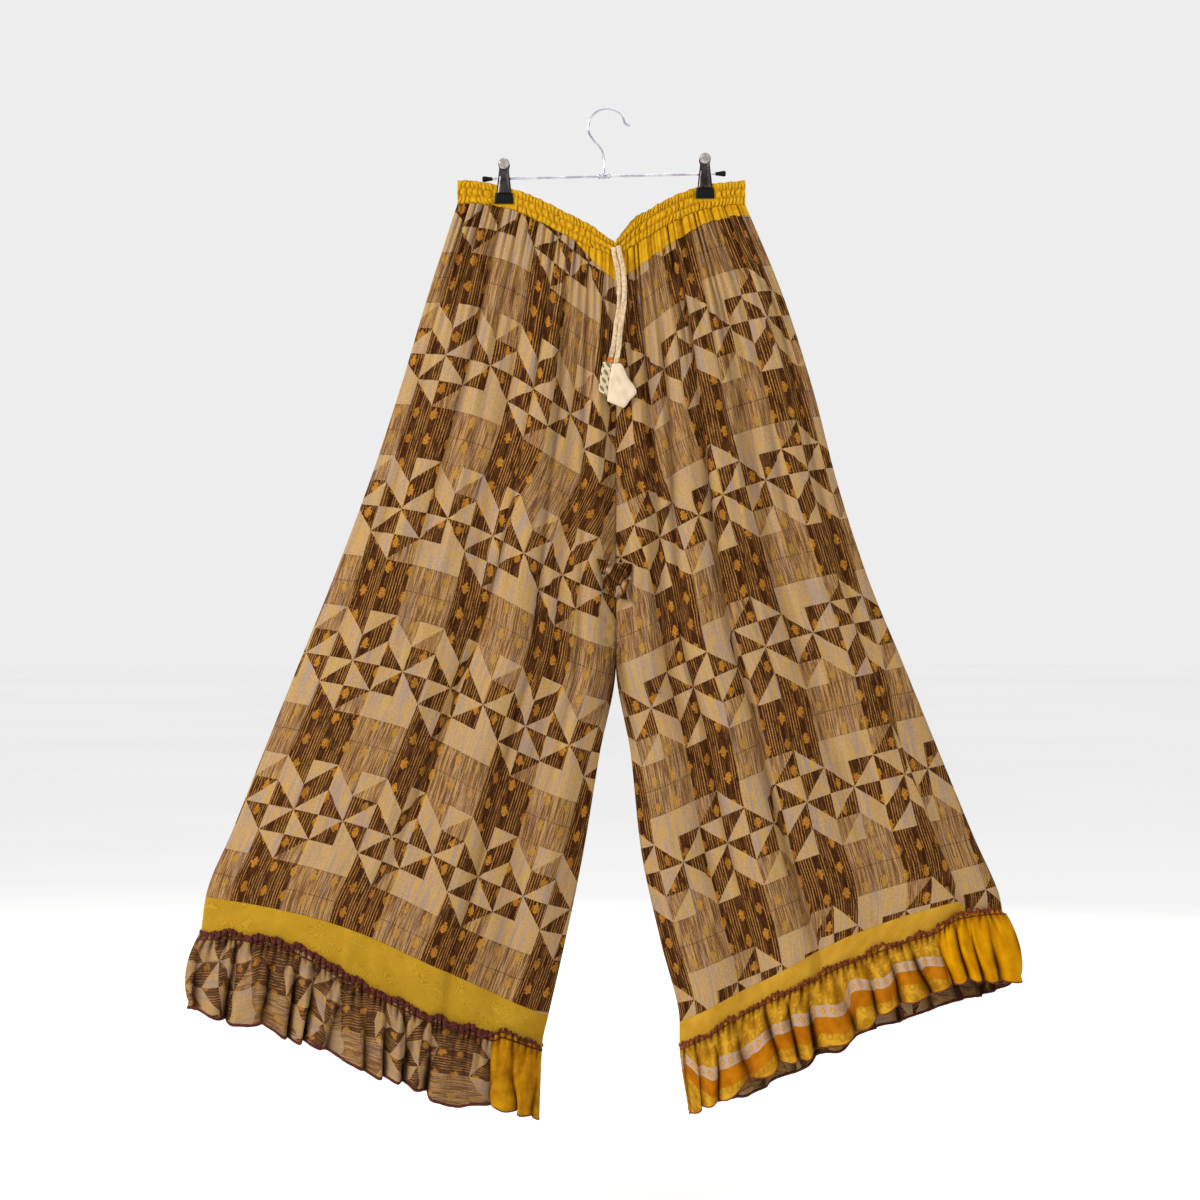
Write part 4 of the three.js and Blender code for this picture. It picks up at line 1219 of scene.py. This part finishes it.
def frill_points(leg, face, across, down, arch=0.0):
    """Points of a frill. down is 0 at the top of its heading and 1 at its free edge."""
    key = f"{leg}_{face}"
    seed = SEED[key] + 50
    outward = -1 if leg == "right" else 1
    hanging = ease(0.07, 1, down)
    heading = 1 - ease(0, 0.07, down)
    near_seam = np.exp(-(((down - 0.075) / 0.12) ** 2))
    turns = across * FRILL_FOLDS[key] + 1.05 * ripple(seed, across * 4.5, across * 0)
    turns = turns + 0.35 * down * ripple(seed + 7, across * 8, across * 0)
    turns = turns + 0.14 * ripple(seed + 6, across * 13, down * 2)
    puffed = 2 * np.abs(np.sin(np.pi * turns)) ** (0.95 + 0.4 * ripple(seed + 10, across * 9, down)) - 1
    size = 0.45 + 0.75 * (0.5 + 0.5 * ripple(seed + 1, across * 10, down * 0.9))
    big = mix(HEAD_SWING, RUFFLE_SWING * 1.5, hanging**0.6) * puffed * size
    medium_phase = 2 * np.pi * 29 * across + 3 * ripple(seed + 9, across * 12, down * 1.5)
    medium = 1.5 * ease(0.03, 0.15, down) * (1 - ease(0.25, 0.8, down)) * np.cos(medium_phase)
    tight_phase = 2 * np.pi * 55 * across + 2.6 * ripple(seed + 2, across * 25, down * 2)
    tight = (1.3 * near_seam + 0.9 * heading + 0.3 * (1 - hanging)) * np.cos(tight_phase)
    crumple = 0.9 * ripple(seed + 3, across * 44, down * 4) + 0.8 * ripple(seed + 4, across * 26, down * 7)
    heights = big + medium + tight + crumple

    uneven = 3.5 * ripple(seed + 71, across * 17, across * 0) + 2.2 * puffed
    top = FRILL_SEAM + hang(key, "heading", across) - FRILL_HEAD / LEG_LENGTH
    bottom = HEM + hang(key, "hem", across) + uneven * ease(0.3, 1, down) / LEG_LENGTH
    along = mix(top, bottom, down) - arch / LEG_LENGTH * (1 - ease(0, 0.45, down))
    points = drape(leg, face, across, along, heights)
    inset = ease(0, 0.04, across) * ease(0, 0.04, 1 - across)
    lean = 7.0 * ripple(seed + 5, across * 7, down * 0.6) * puffed
    points[..., 0] += (lean * hanging**0.7 + 0.9 * heading * np.sin(2 * tight_phase)) * inset
    flare = np.sin(np.pi * np.clip(down * 1.1, 0, 1)) ** 0.7
    points[..., 0] += outward * 10 * (1 - ease(0, 0.10, across)) * flare
    points[..., 1] += FACING[face] * (FRILL_STANDOFF - 1.6 * near_seam + 1.2 * heading)
    ragged = 2.2 * np.sin(tight_phase * 1.3) + 3.6 * ripple(seed + 8, across * 34, across * 0)
    points[..., 2] += heading * ragged
    columns = across.shape[1]
    reach = max(3, int(columns / FRILL_FOLDS[key] / 2 / (across.max() - across.min())))
    # Shade is painted into the hollows and valleys of the folds, and under the gathered seam.
    painted_shade = 0.7 * hollows(heights, reach, 7.0) + 0.5 * hollows(medium + tight + crumple, 4, 1.8)
    painted_valley_shade = (1 - np.abs(np.sin(np.pi * turns))) ** 3 * hanging**0.4
    return points, np.clip(painted_shade + 0.5 * painted_valley_shade * size + 0.3 * near_seam, 0, 1), turns


def overlock(name, line, radius, pitch):
    """A thread-wrapped edge: a thin tube along a line of points, swollen once for each stitch."""
    length = distances(line)
    count = int(length[-1] / (pitch / 2))
    at = np.linspace(0, length[-1], count)
    centre = np.stack([np.interp(at, length, line[:, k]) for k in range(3)], axis=1)
    tangent = np.gradient(centre, axis=0)
    tangent /= np.linalg.norm(tangent, axis=1, keepdims=True)
    out = np.cross(tangent, [0, 0, 1])
    out /= np.maximum(np.linalg.norm(out, axis=1, keepdims=True), 1e-6)
    up = np.cross(out, tangent)
    swell = radius * (1 + 0.22 * (np.arange(count) % 2) + 0.12 * ripple(5, at / 6, at * 0))
    ring = [0.8 * np.cos(angle) * out + 1.35 * np.sin(angle) * up for angle in turn(5)]
    return ring_shell(name, np.stack([centre + swell[:, None] * spoke for spoke in ring], axis=1))


def frill(leg, face, part, start, end, slot, finish, sideways):
    name = f"{leg}_{face}_frill{part}"
    fine = 430 if face == "front" else 300
    share, down = panel_grid(int(fine * (end - start)) + 14, 42 if face == "front" else 30)
    across = mix(start, end, share)
    arch = 0.0
    if name == "left_front_frill_end":
        arch = 17 * np.sin(np.pi * np.clip(0.12 + share * 0.9, 0, 1)) ** 0.8
    if name == "right_front_frill_end":
        arch = 11 * ease(0, 0.25, share) * (1 - 0.9 * share)
    points, painted_shade, turns = frill_points(leg, face, across, down, arch)
    if part:
        points[..., 1] -= END_FORWARD
    run = along_row(points) * FRILL_CUT * (end - start) + FRILL_CUT * start
    seed = SEED[f"{leg}_{face}"]
    fold = (turns + 0.15 * ripple(seed + 61, across * 9, down)) % 1
    tilt = 13 * (fold - ease(0.86, 1, fold) - 0.43)
    tilt = tilt * (0.4 + 0.6 * ripple(seed + 62, across * 8, across * 0) ** 2)
    wave = 9 * ripple(seed + 60, across * 15, across * 0) + 20 * ease(0.90, 1, across)
    fall = down * FRILL_DROP + wave + tilt
    prints = (fall, run) if sideways else (run, fall)
    prints = np.stack([*prints, painted_shade], axis=-1)
    piece = sheet_shell(name, points, CLOTH, prints)
    settle(piece, slot, finish, f"ruffle_{leg}_{face}{part}")
    edges = []
    bold = 1.45 if sideways else 0.85
    lines = [("heading", points[0], 1.4 * bold), ("hem", points[-1], 0.9 * bold)]
    if face == "front":
        lines.append(("seam", points[3] + [0, -0.7, 0], 0.75))
    for place, line, radius in lines:
        edge = overlock(f"{name}_{place}_overlock", line, radius, STITCH)
        settle(edge, slot, RUST if leg == "left" and face == "front" else MAROON)
        edges.append(edge)
        count_triangles(edge)
    declare_sheet(piece, points, "gathered", with_pieces=edges)
    return piece


for row in FRILLS:
    piece = frill(*row)
    print(piece.name, count_triangles(piece), "triangles")

# %% [markdown]
# ## The gathered casing
#
# Elastic in a casing pulls the cloth into rows of little cushions, with a deep pleat between each two.
# Three rows of stitching hold it down, so there are three rows of cushions, and their pleats don't line
# up. The heights below are rounded between the stitching, and cut by narrow pleats whose spacing wanders.

# %% The waistband
BAND_WIDTH = {"right": 24.6, "left": 28.0}
BAND_CHANNELS = 3
BAND_THICK = 4.6
BAND_PINCHED = 2.6
CHANNEL_PLEATS = (34, 27, 43)     # pleats in the bottom, middle and top channel, over half the front
GRIP_HALF_WIDTH = 11.3
OVERLAP = 0.6                     # how far the casing reaches over the seam


def band_height(leg, across):
    """The casing's height, measured upright, so that a slanting part is as wide as a level one."""
    step = 0.02
    waist = np.zeros_like(across)
    before_x, before_z = leg_outline(leg, np.maximum(0, across - step), waist)
    after_x, after_z = leg_outline(leg, np.minimum(1, across + step), waist)
    slant = np.hypot(after_x - before_x, after_z - before_z) / np.abs(after_x - before_x)
    end = BAND_WIDTH[leg] + (4 if leg == "right" else 1) * (1 - ease(0, 0.3, across))
    width = mix(end, sum(BAND_WIDTH.values()) / 2, ease(0.6, 1, across))
    return width * slant * (1 - 0.36 * ease(0.8, 1, across))


def band_half(leg, face, across, up):
    """The outside of one half of the casing. up is 0 at the seam and 1 at the top edge."""
    seed = SEED[f"{leg}_{face}"] + 90
    x, z = leg_outline(leg, across, np.zeros_like(across))
    height = band_height(leg, across)
    below_grip = CLIP_TOP[leg] - JAW_LENGTH - GRIP_HEIGHT - (z + height * up)
    pinched = 1 - ease(GRIP_HALF_WIDTH + 0.5, GRIP_HALF_WIDTH + 5, np.abs(x - CLIP_X[leg]))
    pinched = pinched * (1 - ease(1, 5, below_grip))
    channel = np.clip((up * BAND_CHANNELS).astype(int), 0, BAND_CHANNELS - 1)
    within = up * BAND_CHANNELS - channel
    cushion = np.sin(np.pi * np.clip(within, 0, 1)) ** 0.4
    pleats = np.zeros_like(across)
    shove = np.zeros_like(across)
    for number, count in enumerate(CHANNEL_PLEATS):
        here = channel == number
        phase = count * across + 0.55 * ripple(seed + number, across * count * 0.45, up * 4) + 0.3 * number
        groove = np.abs(np.sin(np.pi * phase))
        depth = 0.62 + 0.36 * ripple(seed + 7 + number, across * count, up * 2)
        pleats = np.where(here, 1 - depth * (1 - groove) ** 1.7, pleats)
        shove = np.where(here, np.cos(np.pi * phase) * groove, shove)
    puff = 0.34 + 0.85 * cushion * pleats + 0.05 * ripple(seed + 20, across * 60, up * 12)
    thick = mix(BAND_THICK * puff, BAND_PINCHED, pinched)
    inside = SEAM / 2 + waist_opening(across) * (1 - pinched)
    lift = 6 * np.exp(-(((across - 0.9) / 0.12) ** 2)) if (face, leg) == ("back", "left") else 0.0
    edge = 0.9 * ripple(seed + 31, across * 44, up * 0) * ease(0.9, 1, up)
    facing = FACING[face]
    level = z - OVERLAP + lift + (height + OVERLAP) * up + edge
    # Shade is painted into the pleats' grooves and between the cushions, but not where the clips pinch.
    painted_shade = (0.75 * (1 - pleats) + 0.5 * (1 - cushion)) * (1 - pinched)
    shoved = x + (0.45 if leg == "right" else -0.45) * shove * (1 - pinched)
    outer = np.stack([shoved, facing * (inside + thick), level], axis=-1)
    inner = np.stack([x, facing * inside, level], axis=-1)
    return outer, inner, painted_shade


def waistband(face):
    """Both halves of the casing, joined at the centre."""
    columns, rows = (280, 28) if face == "front" else (200, 22)
    # creases gathers the painted shade of both halves.
    outers, inners, creases = [], [], []
    for leg in ("right", "left"):
        across, up = panel_grid(columns, rows)
        if leg == "left":
            across = 1 - across
        outer, inner, painted_shade = band_half(leg, face, across, up)
        first = 0 if leg == "right" else 1
        outers.append(outer[:, first:])
        inners.append(inner[:, first:])
        creases.append(painted_shade[:, first:])
    outer, inner = np.concatenate(outers, axis=1), np.concatenate(inners, axis=1)
    _, up = panel_grid(2 * columns, rows)
    run = along_row(outer) * PANEL_WIDTH * 2
    prints = np.stack([run, up * 40, np.concatenate(creases, axis=1)], axis=-1)
    piece = shell(f"{face}_waistband", outer, inner, prints, 80)
    settle(piece, "waist_yellow", WAIST_YELLOW, f"waistband_{face}")
    declare_sheet(piece, outer, "gathered")
    return piece


for face in ("front", "back"):
    piece = waistband(face)
    print(piece.name, count_triangles(piece), "triangles")

# %% [markdown]
# ## The drawstring and its folded squares
#
# The drawstring is a flat cotton tube that has been creased by tying. Its route is the same list of
# points that its solid was drawn along. Each end is finished with a small square of cloth, folded round
# it.

# %% Drawstring plies
CORD_WIDTH = 6.2
CORD_THICK = 2.0
CORDS = {
    "right": [
        (7.8, -12.8, -167), (8.0, -14.4, -172), (9.0, -17.4, -178), (11.0, -19.4, -186),
        (13.0, -20.8, -196), (14.4, -22.0, -208), (15.2, -23.4, -220), (15.2, -24.8, -232),
        (14.2, -26.2, -244), (12.2, -27.5, -256), (10.4, -28.6, -268), (9.0, -29.5, -279),
        (7.6, -30.1, -288), (5.8, -30.6, -296), (4.4, -30.9, -302), (3.6, -31.0, -306),
    ],
    "left": [
        (14.2, -12.8, -165), (14.4, -14.8, -170), (15.4, -18.6, -176), (17.4, -21.6, -184),
        (19.2, -23.4, -194), (20.4, -24.7, -206), (21.0, -26.0, -218), (20.8, -27.4, -230),
        (19.4, -28.8, -243), (17.6, -30.1, -256), (16.0, -31.2, -268), (14.8, -32.2, -280),
        (13.8, -32.9, -290), (12.6, -33.4, -298), (11.4, -33.7, -304), (10.6, -33.8, -308),
    ],
}


def smooth_line(points, count):
    """Even points on a smooth curve through a few given ones."""
    given = np.array(points, float)
    knots = distances(given)
    table = np.column_stack([knots, given])
    names = ("at", "x", "y", "z")
    at = np.linspace(0, knots[-1], count)
    return np.stack([column(table, names, name, at) for name in names[1:]], axis=1), knots[-1]


def drawstring(leg):
    """A flat, twisted ply with the route and length of its middle line, in metres."""
    line, length = smooth_line(CORDS[leg], 150)
    share = np.linspace(0, 1, len(line))
    seed = SEED[f"{leg}_front"] + 130
    angle = turn(16)
    sections = []
    for centre, t in zip(line, share):
        half = CORD_WIDTH / 2 * (1 + 0.14 * ripple(seed, np.array(t * 22), np.array(0.5)))
        twist = 0.35 * ripple(seed + 1, np.array(t * 9), np.array(0.5))
        crease = 0.5 * ripple(seed + 2, angle * 1.2, np.full_like(angle, t * 30))
        wide = half * np.cos(angle)
        deep = (CORD_THICK / 2 + 0.25 * crease) * np.sign(np.sin(angle)) * np.abs(np.sin(angle)) ** 0.7
        deep = deep + 0.45 * np.cos(3 * angle + t * 19) * np.abs(np.sin(angle))
        x = wide * math.cos(twist) - deep * math.sin(twist)
        y = wide * math.sin(twist) + deep * math.cos(twist)
        sections.append(np.stack([centre[0] + x, centre[1] + y, np.full_like(x, centre[2])], axis=1))
    piece = ring_shell(f"{leg}_drawstring", np.array(sections))
    settle(piece, "cream_cotton", CREAM, f"drawstring_{leg}")
    return piece, line * MM, length * MM


cords = {leg: drawstring(leg) for leg in ("right", "left")}
for leg, (piece, line, length) in cords.items():
    print(piece.name, count_triangles(piece), "triangles,", round(length, 3), "metres long")

# %% [markdown]
# ## Folded squares
#
# Each square is drawn by its outline and swollen in the middle, like a small cushion. One is plain, one
# is printed with leaves, and a scrap of orange binds the ply above.

# %% Folded squares at the ends


def pillow(name, outline, middle_y, thick, puff, material, slot, *nodes):
    """A folded scrap of cloth: an outline in x and z, swollen in the middle, with soft creases."""
    rings = 12
    edge, _ = smooth_line([*outline, outline[0]], 60)
    edge = edge[:-1]
    centre = edge.mean(axis=0)
    front, back = [], []
    for k in range(rings + 1):
        share = 1 - k / rings
        ring = centre + (edge - centre) * share
        rise = (1 - share**2.2) ** 0.5
        crease = 0.35 * np.sin(ring[:, 0] * 0.55 + ring[:, 2] * 0.3) * rise
        swell = thick / 2 * (0.35 + 0.65 * min(1, rise * 1.6)) + puff * rise + crease
        front.append(np.stack([ring[:, 0], middle_y - swell, ring[:, 2]], axis=1))
        back.append(np.stack([ring[:, 0], middle_y + swell * 0.8, ring[:, 2]], axis=1))
    return settle(ring_shell(name, np.array([*front[::-1], *back]), 60), slot, material, *nodes)


def outline_from(top_x, top_z, corners):
    return [(top_x + x, 0.0, top_z + z) for x, z in corners]


cream_tab = pillow(
    "cream_tab",
    outline_from(10.6, -308.4, [
        (-4.4, 0), (4.6, 0), (14.8, -17.0), (24.8, -34.0), (17.0, -44.0), (8.6, -53.0),
        (-1.0, -49.0), (-10.6, -44.0), (-9.2, -31.0), (-8.0, -18.0), (-6.0, -9.0),
    ]),
    -33.8, 2.4, 1.4, TAB_CREAM, "cream_cotton", "tab_cream",
)
leaf_tab = pillow(
    "leaf_tab",
    outline_from(3.2, -306.4, [
        (-8.0, 0), (2.6, 0), (3.4, -14.0), (1.2, -29.0), (-1.2, -44.0), (-7.0, -39.0),
        (-13.2, -33.0), (-12.2, -23.0), (-11.0, -14.0), (-9.6, -7.0),
    ]),
    -30.6, 2.0, 0.5, LEAF, "leaf_cotton", "tab_leaf",
)
patch_tab = pillow(
    "patch_tab",
    outline_from(3.8, -301.0, [
        (-3.2, 0), (3.2, 0), (3.2, -3.1), (3.2, -6.2), (-3.2, -6.2), (-3.2, -3.1),
    ]),
    -32.9, 0.9, 0.2, PATCH, "orange_cotton", "tab_patch",
)

# %% [markdown]
# ## The hanger
#
# A wire hook turns in a sleeve at the middle of a thin bar, and two spring clips slide on the bar. Each
# clip has two pressed steel jaws, with a round grey knob on top where the fingers squeeze and black
# rubber grips at the mouth.

# %% Turned and bent wire parts
BAR_RADIUS = 1.6
BAR_CENTRE = np.array([-3.5, 0.0, -79.9])
BAR_HALF_LENGTH = 134.0
BAR_TILT = math.radians(1.32)
HOOK_WIRE = 1.5
HOOK_BEND = 22.5
SPRING_LENGTH, SPRING_RADIUS, SPRING_WIRE, SPRING_TURNS = 8.6, 3.1, 0.75, 4


def tube(name, line, radii, sides=20):
    """A round rod along a line of points, whose radius may change on the way."""
    tangent = np.gradient(line, axis=0)
    tangent /= np.linalg.norm(tangent, axis=1, keepdims=True)
    out = np.tile([0.0, 1.0, 0.0], (len(line), 1))
    up = np.cross(out, tangent)
    up /= np.linalg.norm(up, axis=1, keepdims=True)
    angle = turn(sides)
    radii = np.broadcast_to(radii, len(line))[:, None, None]
    ring = out[:, None, :] * np.cos(angle)[None, :, None] + up[:, None, :] * np.sin(angle)[None, :, None]
    return ring_shell(name, line[:, None, :] + radii * ring, 40, inside_out=True)


def on_bar(x):
    """The bar's middle at a place along it."""
    return BAR_CENTRE + np.array([x - BAR_CENTRE[0], 0, (x - BAR_CENTRE[0]) * math.tan(BAR_TILT)])


def bar_part(name, middle, profile, material, slot, node):
    """A part turned about the bar, from rows of distance along it and radius."""
    way = np.array([math.cos(BAR_TILT), 0, math.sin(BAR_TILT)])
    line = np.array([on_bar(middle) + way * at for at, _ in profile])
    radii = np.array([max(radius, 0.01) for _, radius in profile])
    spread = np.linspace(0, 1e-3, len(line))
    return settle(tube(name, line + way * spread[:, None], radii, 24), slot, material, node)


hook_points = [
    (BAR_CENTRE[0], 0, BAR_CENTRE[2] + 4.4), (BAR_CENTRE[0], 0, -68), (BAR_CENTRE[0], 0, -61),
    (-4.6, 0, -52), (-9.2, 0, -44), (-14.9, 0, -38),
]
for degrees in range(190, 20, -12):
    way = math.radians(degrees)
    hook_points.append((HOOK_BEND * math.cos(way), 0, HOOK_WIRE - HOOK_BEND + HOOK_BEND * math.sin(way)))
hook_points += [(21.6, 0, -15.6), (24.8, 0, -17.8), (29.0, 0, -18.8)]
hook_line, _ = smooth_line(hook_points, 120)
hook_radii = np.full(len(hook_line), HOOK_WIRE)
hook_radii[:6] = np.linspace(2.4, HOOK_WIRE, 6)
hook_radii[-3:] = [HOOK_WIRE, 1.2, 0.6]
settle(tube("hook", hook_line, hook_radii), "chrome_wire", CHROME, "hanger_hook")

bar_end = [(BAR_HALF_LENGTH - 0.5, BAR_RADIUS), (BAR_HALF_LENGTH, BAR_RADIUS - 0.2)]
bar_profile = [(-at, radius) for at, radius in bar_end[::-1]] + bar_end
bar_part("bar", BAR_CENTRE[0], bar_profile, CHROME, "chrome_wire", "hanger_bar")
sleeve_end = [(1.6, 3.4), (2, 2.6), (4.4, 2.6), (5.2, 3.0), (6.2, 3.7), (6.9, 3.3), (7, 2.1)]
sleeve_profile = [(-at, radius) for at, radius in sleeve_end[::-1]] + [(0, 3.8)] + sleeve_end
bar_part("sleeve", BAR_CENTRE[0], sleeve_profile, CHROME, "chrome_wire", "hanger_sleeve")
for leg, way in (("right", -1), ("left", 1)):
    profile = [(0, 1.7), (0.2, 2.2), (3, 2.4), (6, 2.9), (9.5, 3.5), (11.6, 3.4), (12.5, 2.7), (12.8, 1.2)]
    profile = [(way * at, radius) for at, radius in profile]
    profile = profile if way > 0 else profile[::-1]
    end = BAR_CENTRE[0] + way * (BAR_HALF_LENGTH + SEAM)
    bar_part(f"{leg}_cap", end, profile, RUBBER, "black_rubber", f"bar_cap_{leg}")
    turns = np.linspace(0, SPRING_TURNS * 2 * np.pi, 120)
    start_x, _, height = on_bar(CLIP_X[leg] - SPRING_LENGTH / 2)
    coil_x = start_x + turns / turns[-1] * SPRING_LENGTH
    coil = [coil_x, SPRING_RADIUS * np.cos(turns), height + SPRING_RADIUS * np.sin(turns)]
    spring = tube(f"{leg}_spring", np.stack(coil, axis=1), SPRING_WIRE, 8)
    settle(spring, "chrome_wire", CHROME, f"clip_{leg}_spring")
print("hook, bar, caps and springs made")

# %% [markdown]
# ## The clips
#
# A jaw is a strip of steel that is bent wide at the thumb, narrow over the bar and wide again at the
# mouth. Its edges are folded in a little, which makes it stiff. The grip is moulded rubber with fine
# ribs, so that cloth can't slip.

# %% Clips
JAW_COLUMNS = ("along", "half_width", "out")
JAW = [
    (0.00, 1.6, 9.5), (0.04, 4.6, 9.4), (0.10, 6.3, 9.1), (0.17, 6.9, 8.6), (0.25, 6.2, 7.6),
    (0.31, 5.6, 6.6), (0.55, 6.6, 4.5), (0.80, 7.8, 4.7), (1.00, 8.6, 5.0),
]
GRIP_THICK = 3.2


def clip_jaw(leg, face):
    """A strip of steel whose width and distance from the bar follow the table."""
    facing = FACING[face]
    across, down = panel_grid(24, 60)
    spread = 2 * across - 1
    crown = 1.9 * (1 - spread**2) * ease(0.22, 0.4, down)
    lip = -0.9 * ease(0.82, 1.0, np.abs(spread)) * ease(0.28, 0.36, down)
    x = CLIP_X[leg] + spread * column(JAW, JAW_COLUMNS, "half_width", down)
    y = facing * (column(JAW, JAW_COLUMNS, "out", down) + crown + lip)
    points = np.stack([x, y, CLIP_TOP[leg] - down * JAW_LENGTH], axis=-1)
    jaw = sheet_shell(f"{leg}_{face}_jaw", points, 0.9, np.zeros_like(points))
    settle(jaw, "clip_steel", CLIP_STEEL, f"clip_{leg}_{face}_jaw")
    return jaw


def knob(leg, face):
    """A round button of grey plastic on the thumb end of a jaw."""
    facing = FACING[face]
    profile = [(0.0, 6.2), (0.5, 6.6), (1.2, 6.3), (1.8, 5.2), (2.2, 3.4), (2.35, 1.2)]
    line = np.array([(CLIP_X[leg], facing * (9.5 + at), CLIP_TOP[leg] - 6.6) for at, _ in profile])
    radii = np.array([radius for _, radius in profile])[:, None, None]
    angle = turn(36)
    ring = np.stack([np.cos(angle), 0 * angle, np.sin(angle)], axis=1)[None]
    piece = ring_shell(f"{leg}_{face}_knob", line[:, None, :] + radii * ring, 50, inside_out=facing < 0)
    return settle(piece, "clip_steel", KNOB)


def rubber_grip(leg, face):
    """A moulded grip with rounded corners and fine ribs on its face."""
    facing = FACING[face]
    near = SEAM / 2 + BAND_PINCHED + SEAM
    across, down = panel_grid(40, 26)
    spread, fall = 2 * across - 1, 2 * down - 1
    taper = 1 - 0.07 * ease(0.2, -1.0, fall)
    x = CLIP_X[leg] + spread * GRIP_HALF_WIDTH * np.where(fall < 0, taper, 1.0)
    z = CLIP_TOP[leg] - JAW_LENGTH - SEAM - down * GRIP_HEIGHT
    edge = np.minimum(1 - np.abs(spread), (1 - np.abs(fall)) * 0.6)
    rounded = GRIP_THICK * (0.62 + 0.38 * ease(0, 0.16, edge))
    ribs = 0.18 * np.cos(spread * 26) * ease(0.12, 0.3, edge)
    outer = np.stack([x, facing * (near + rounded + ribs - 0.2), z], axis=-1)
    inner = np.stack([x, np.full_like(x, facing * near), z], axis=-1)
    piece = shell(f"{leg}_{face}_grip", outer, inner, None, 50)
    return settle(piece, "black_rubber", RUBBER, f"clip_{leg}_{face}_grip")


for leg in ("right", "left"):
    for face in ("front", "back"):
        clip_jaw(leg, face)
        knob(leg, face)
        rubber_grip(leg, face)
print("clips made")

# %% [markdown]
# ## The floor
#
# The floor is a plain pale sheet far below the hems. It stands for the room, and is not part of the
# garment.

# %% Floor
REACH = 30
corners = [(x * REACH, y * REACH, FLOOR_LEVEL) for x, y in ((-1, -1), (1, -1), (1, 1), (-1, 1))]
floor_mesh = bpy.data.meshes.new("floor")
floor_mesh.from_pydata(corners, [], [(0, 1, 2, 3)])
floor = add_object("floor", floor_mesh)
floor_finish = Finish("floor_paint", Roughness=0.9)
floor_cloud = floor_finish.noise(floor_finish.object_place(), 0.4, 2.0)
floor_finish.colour(floor_cloud.step(0.2, 0.8).blend(hex_colour("fafafa"), hex_colour("ffffff")))
floor.data.materials.append(floor_finish.material)
print("total triangles counted", sum(triangles.values()))
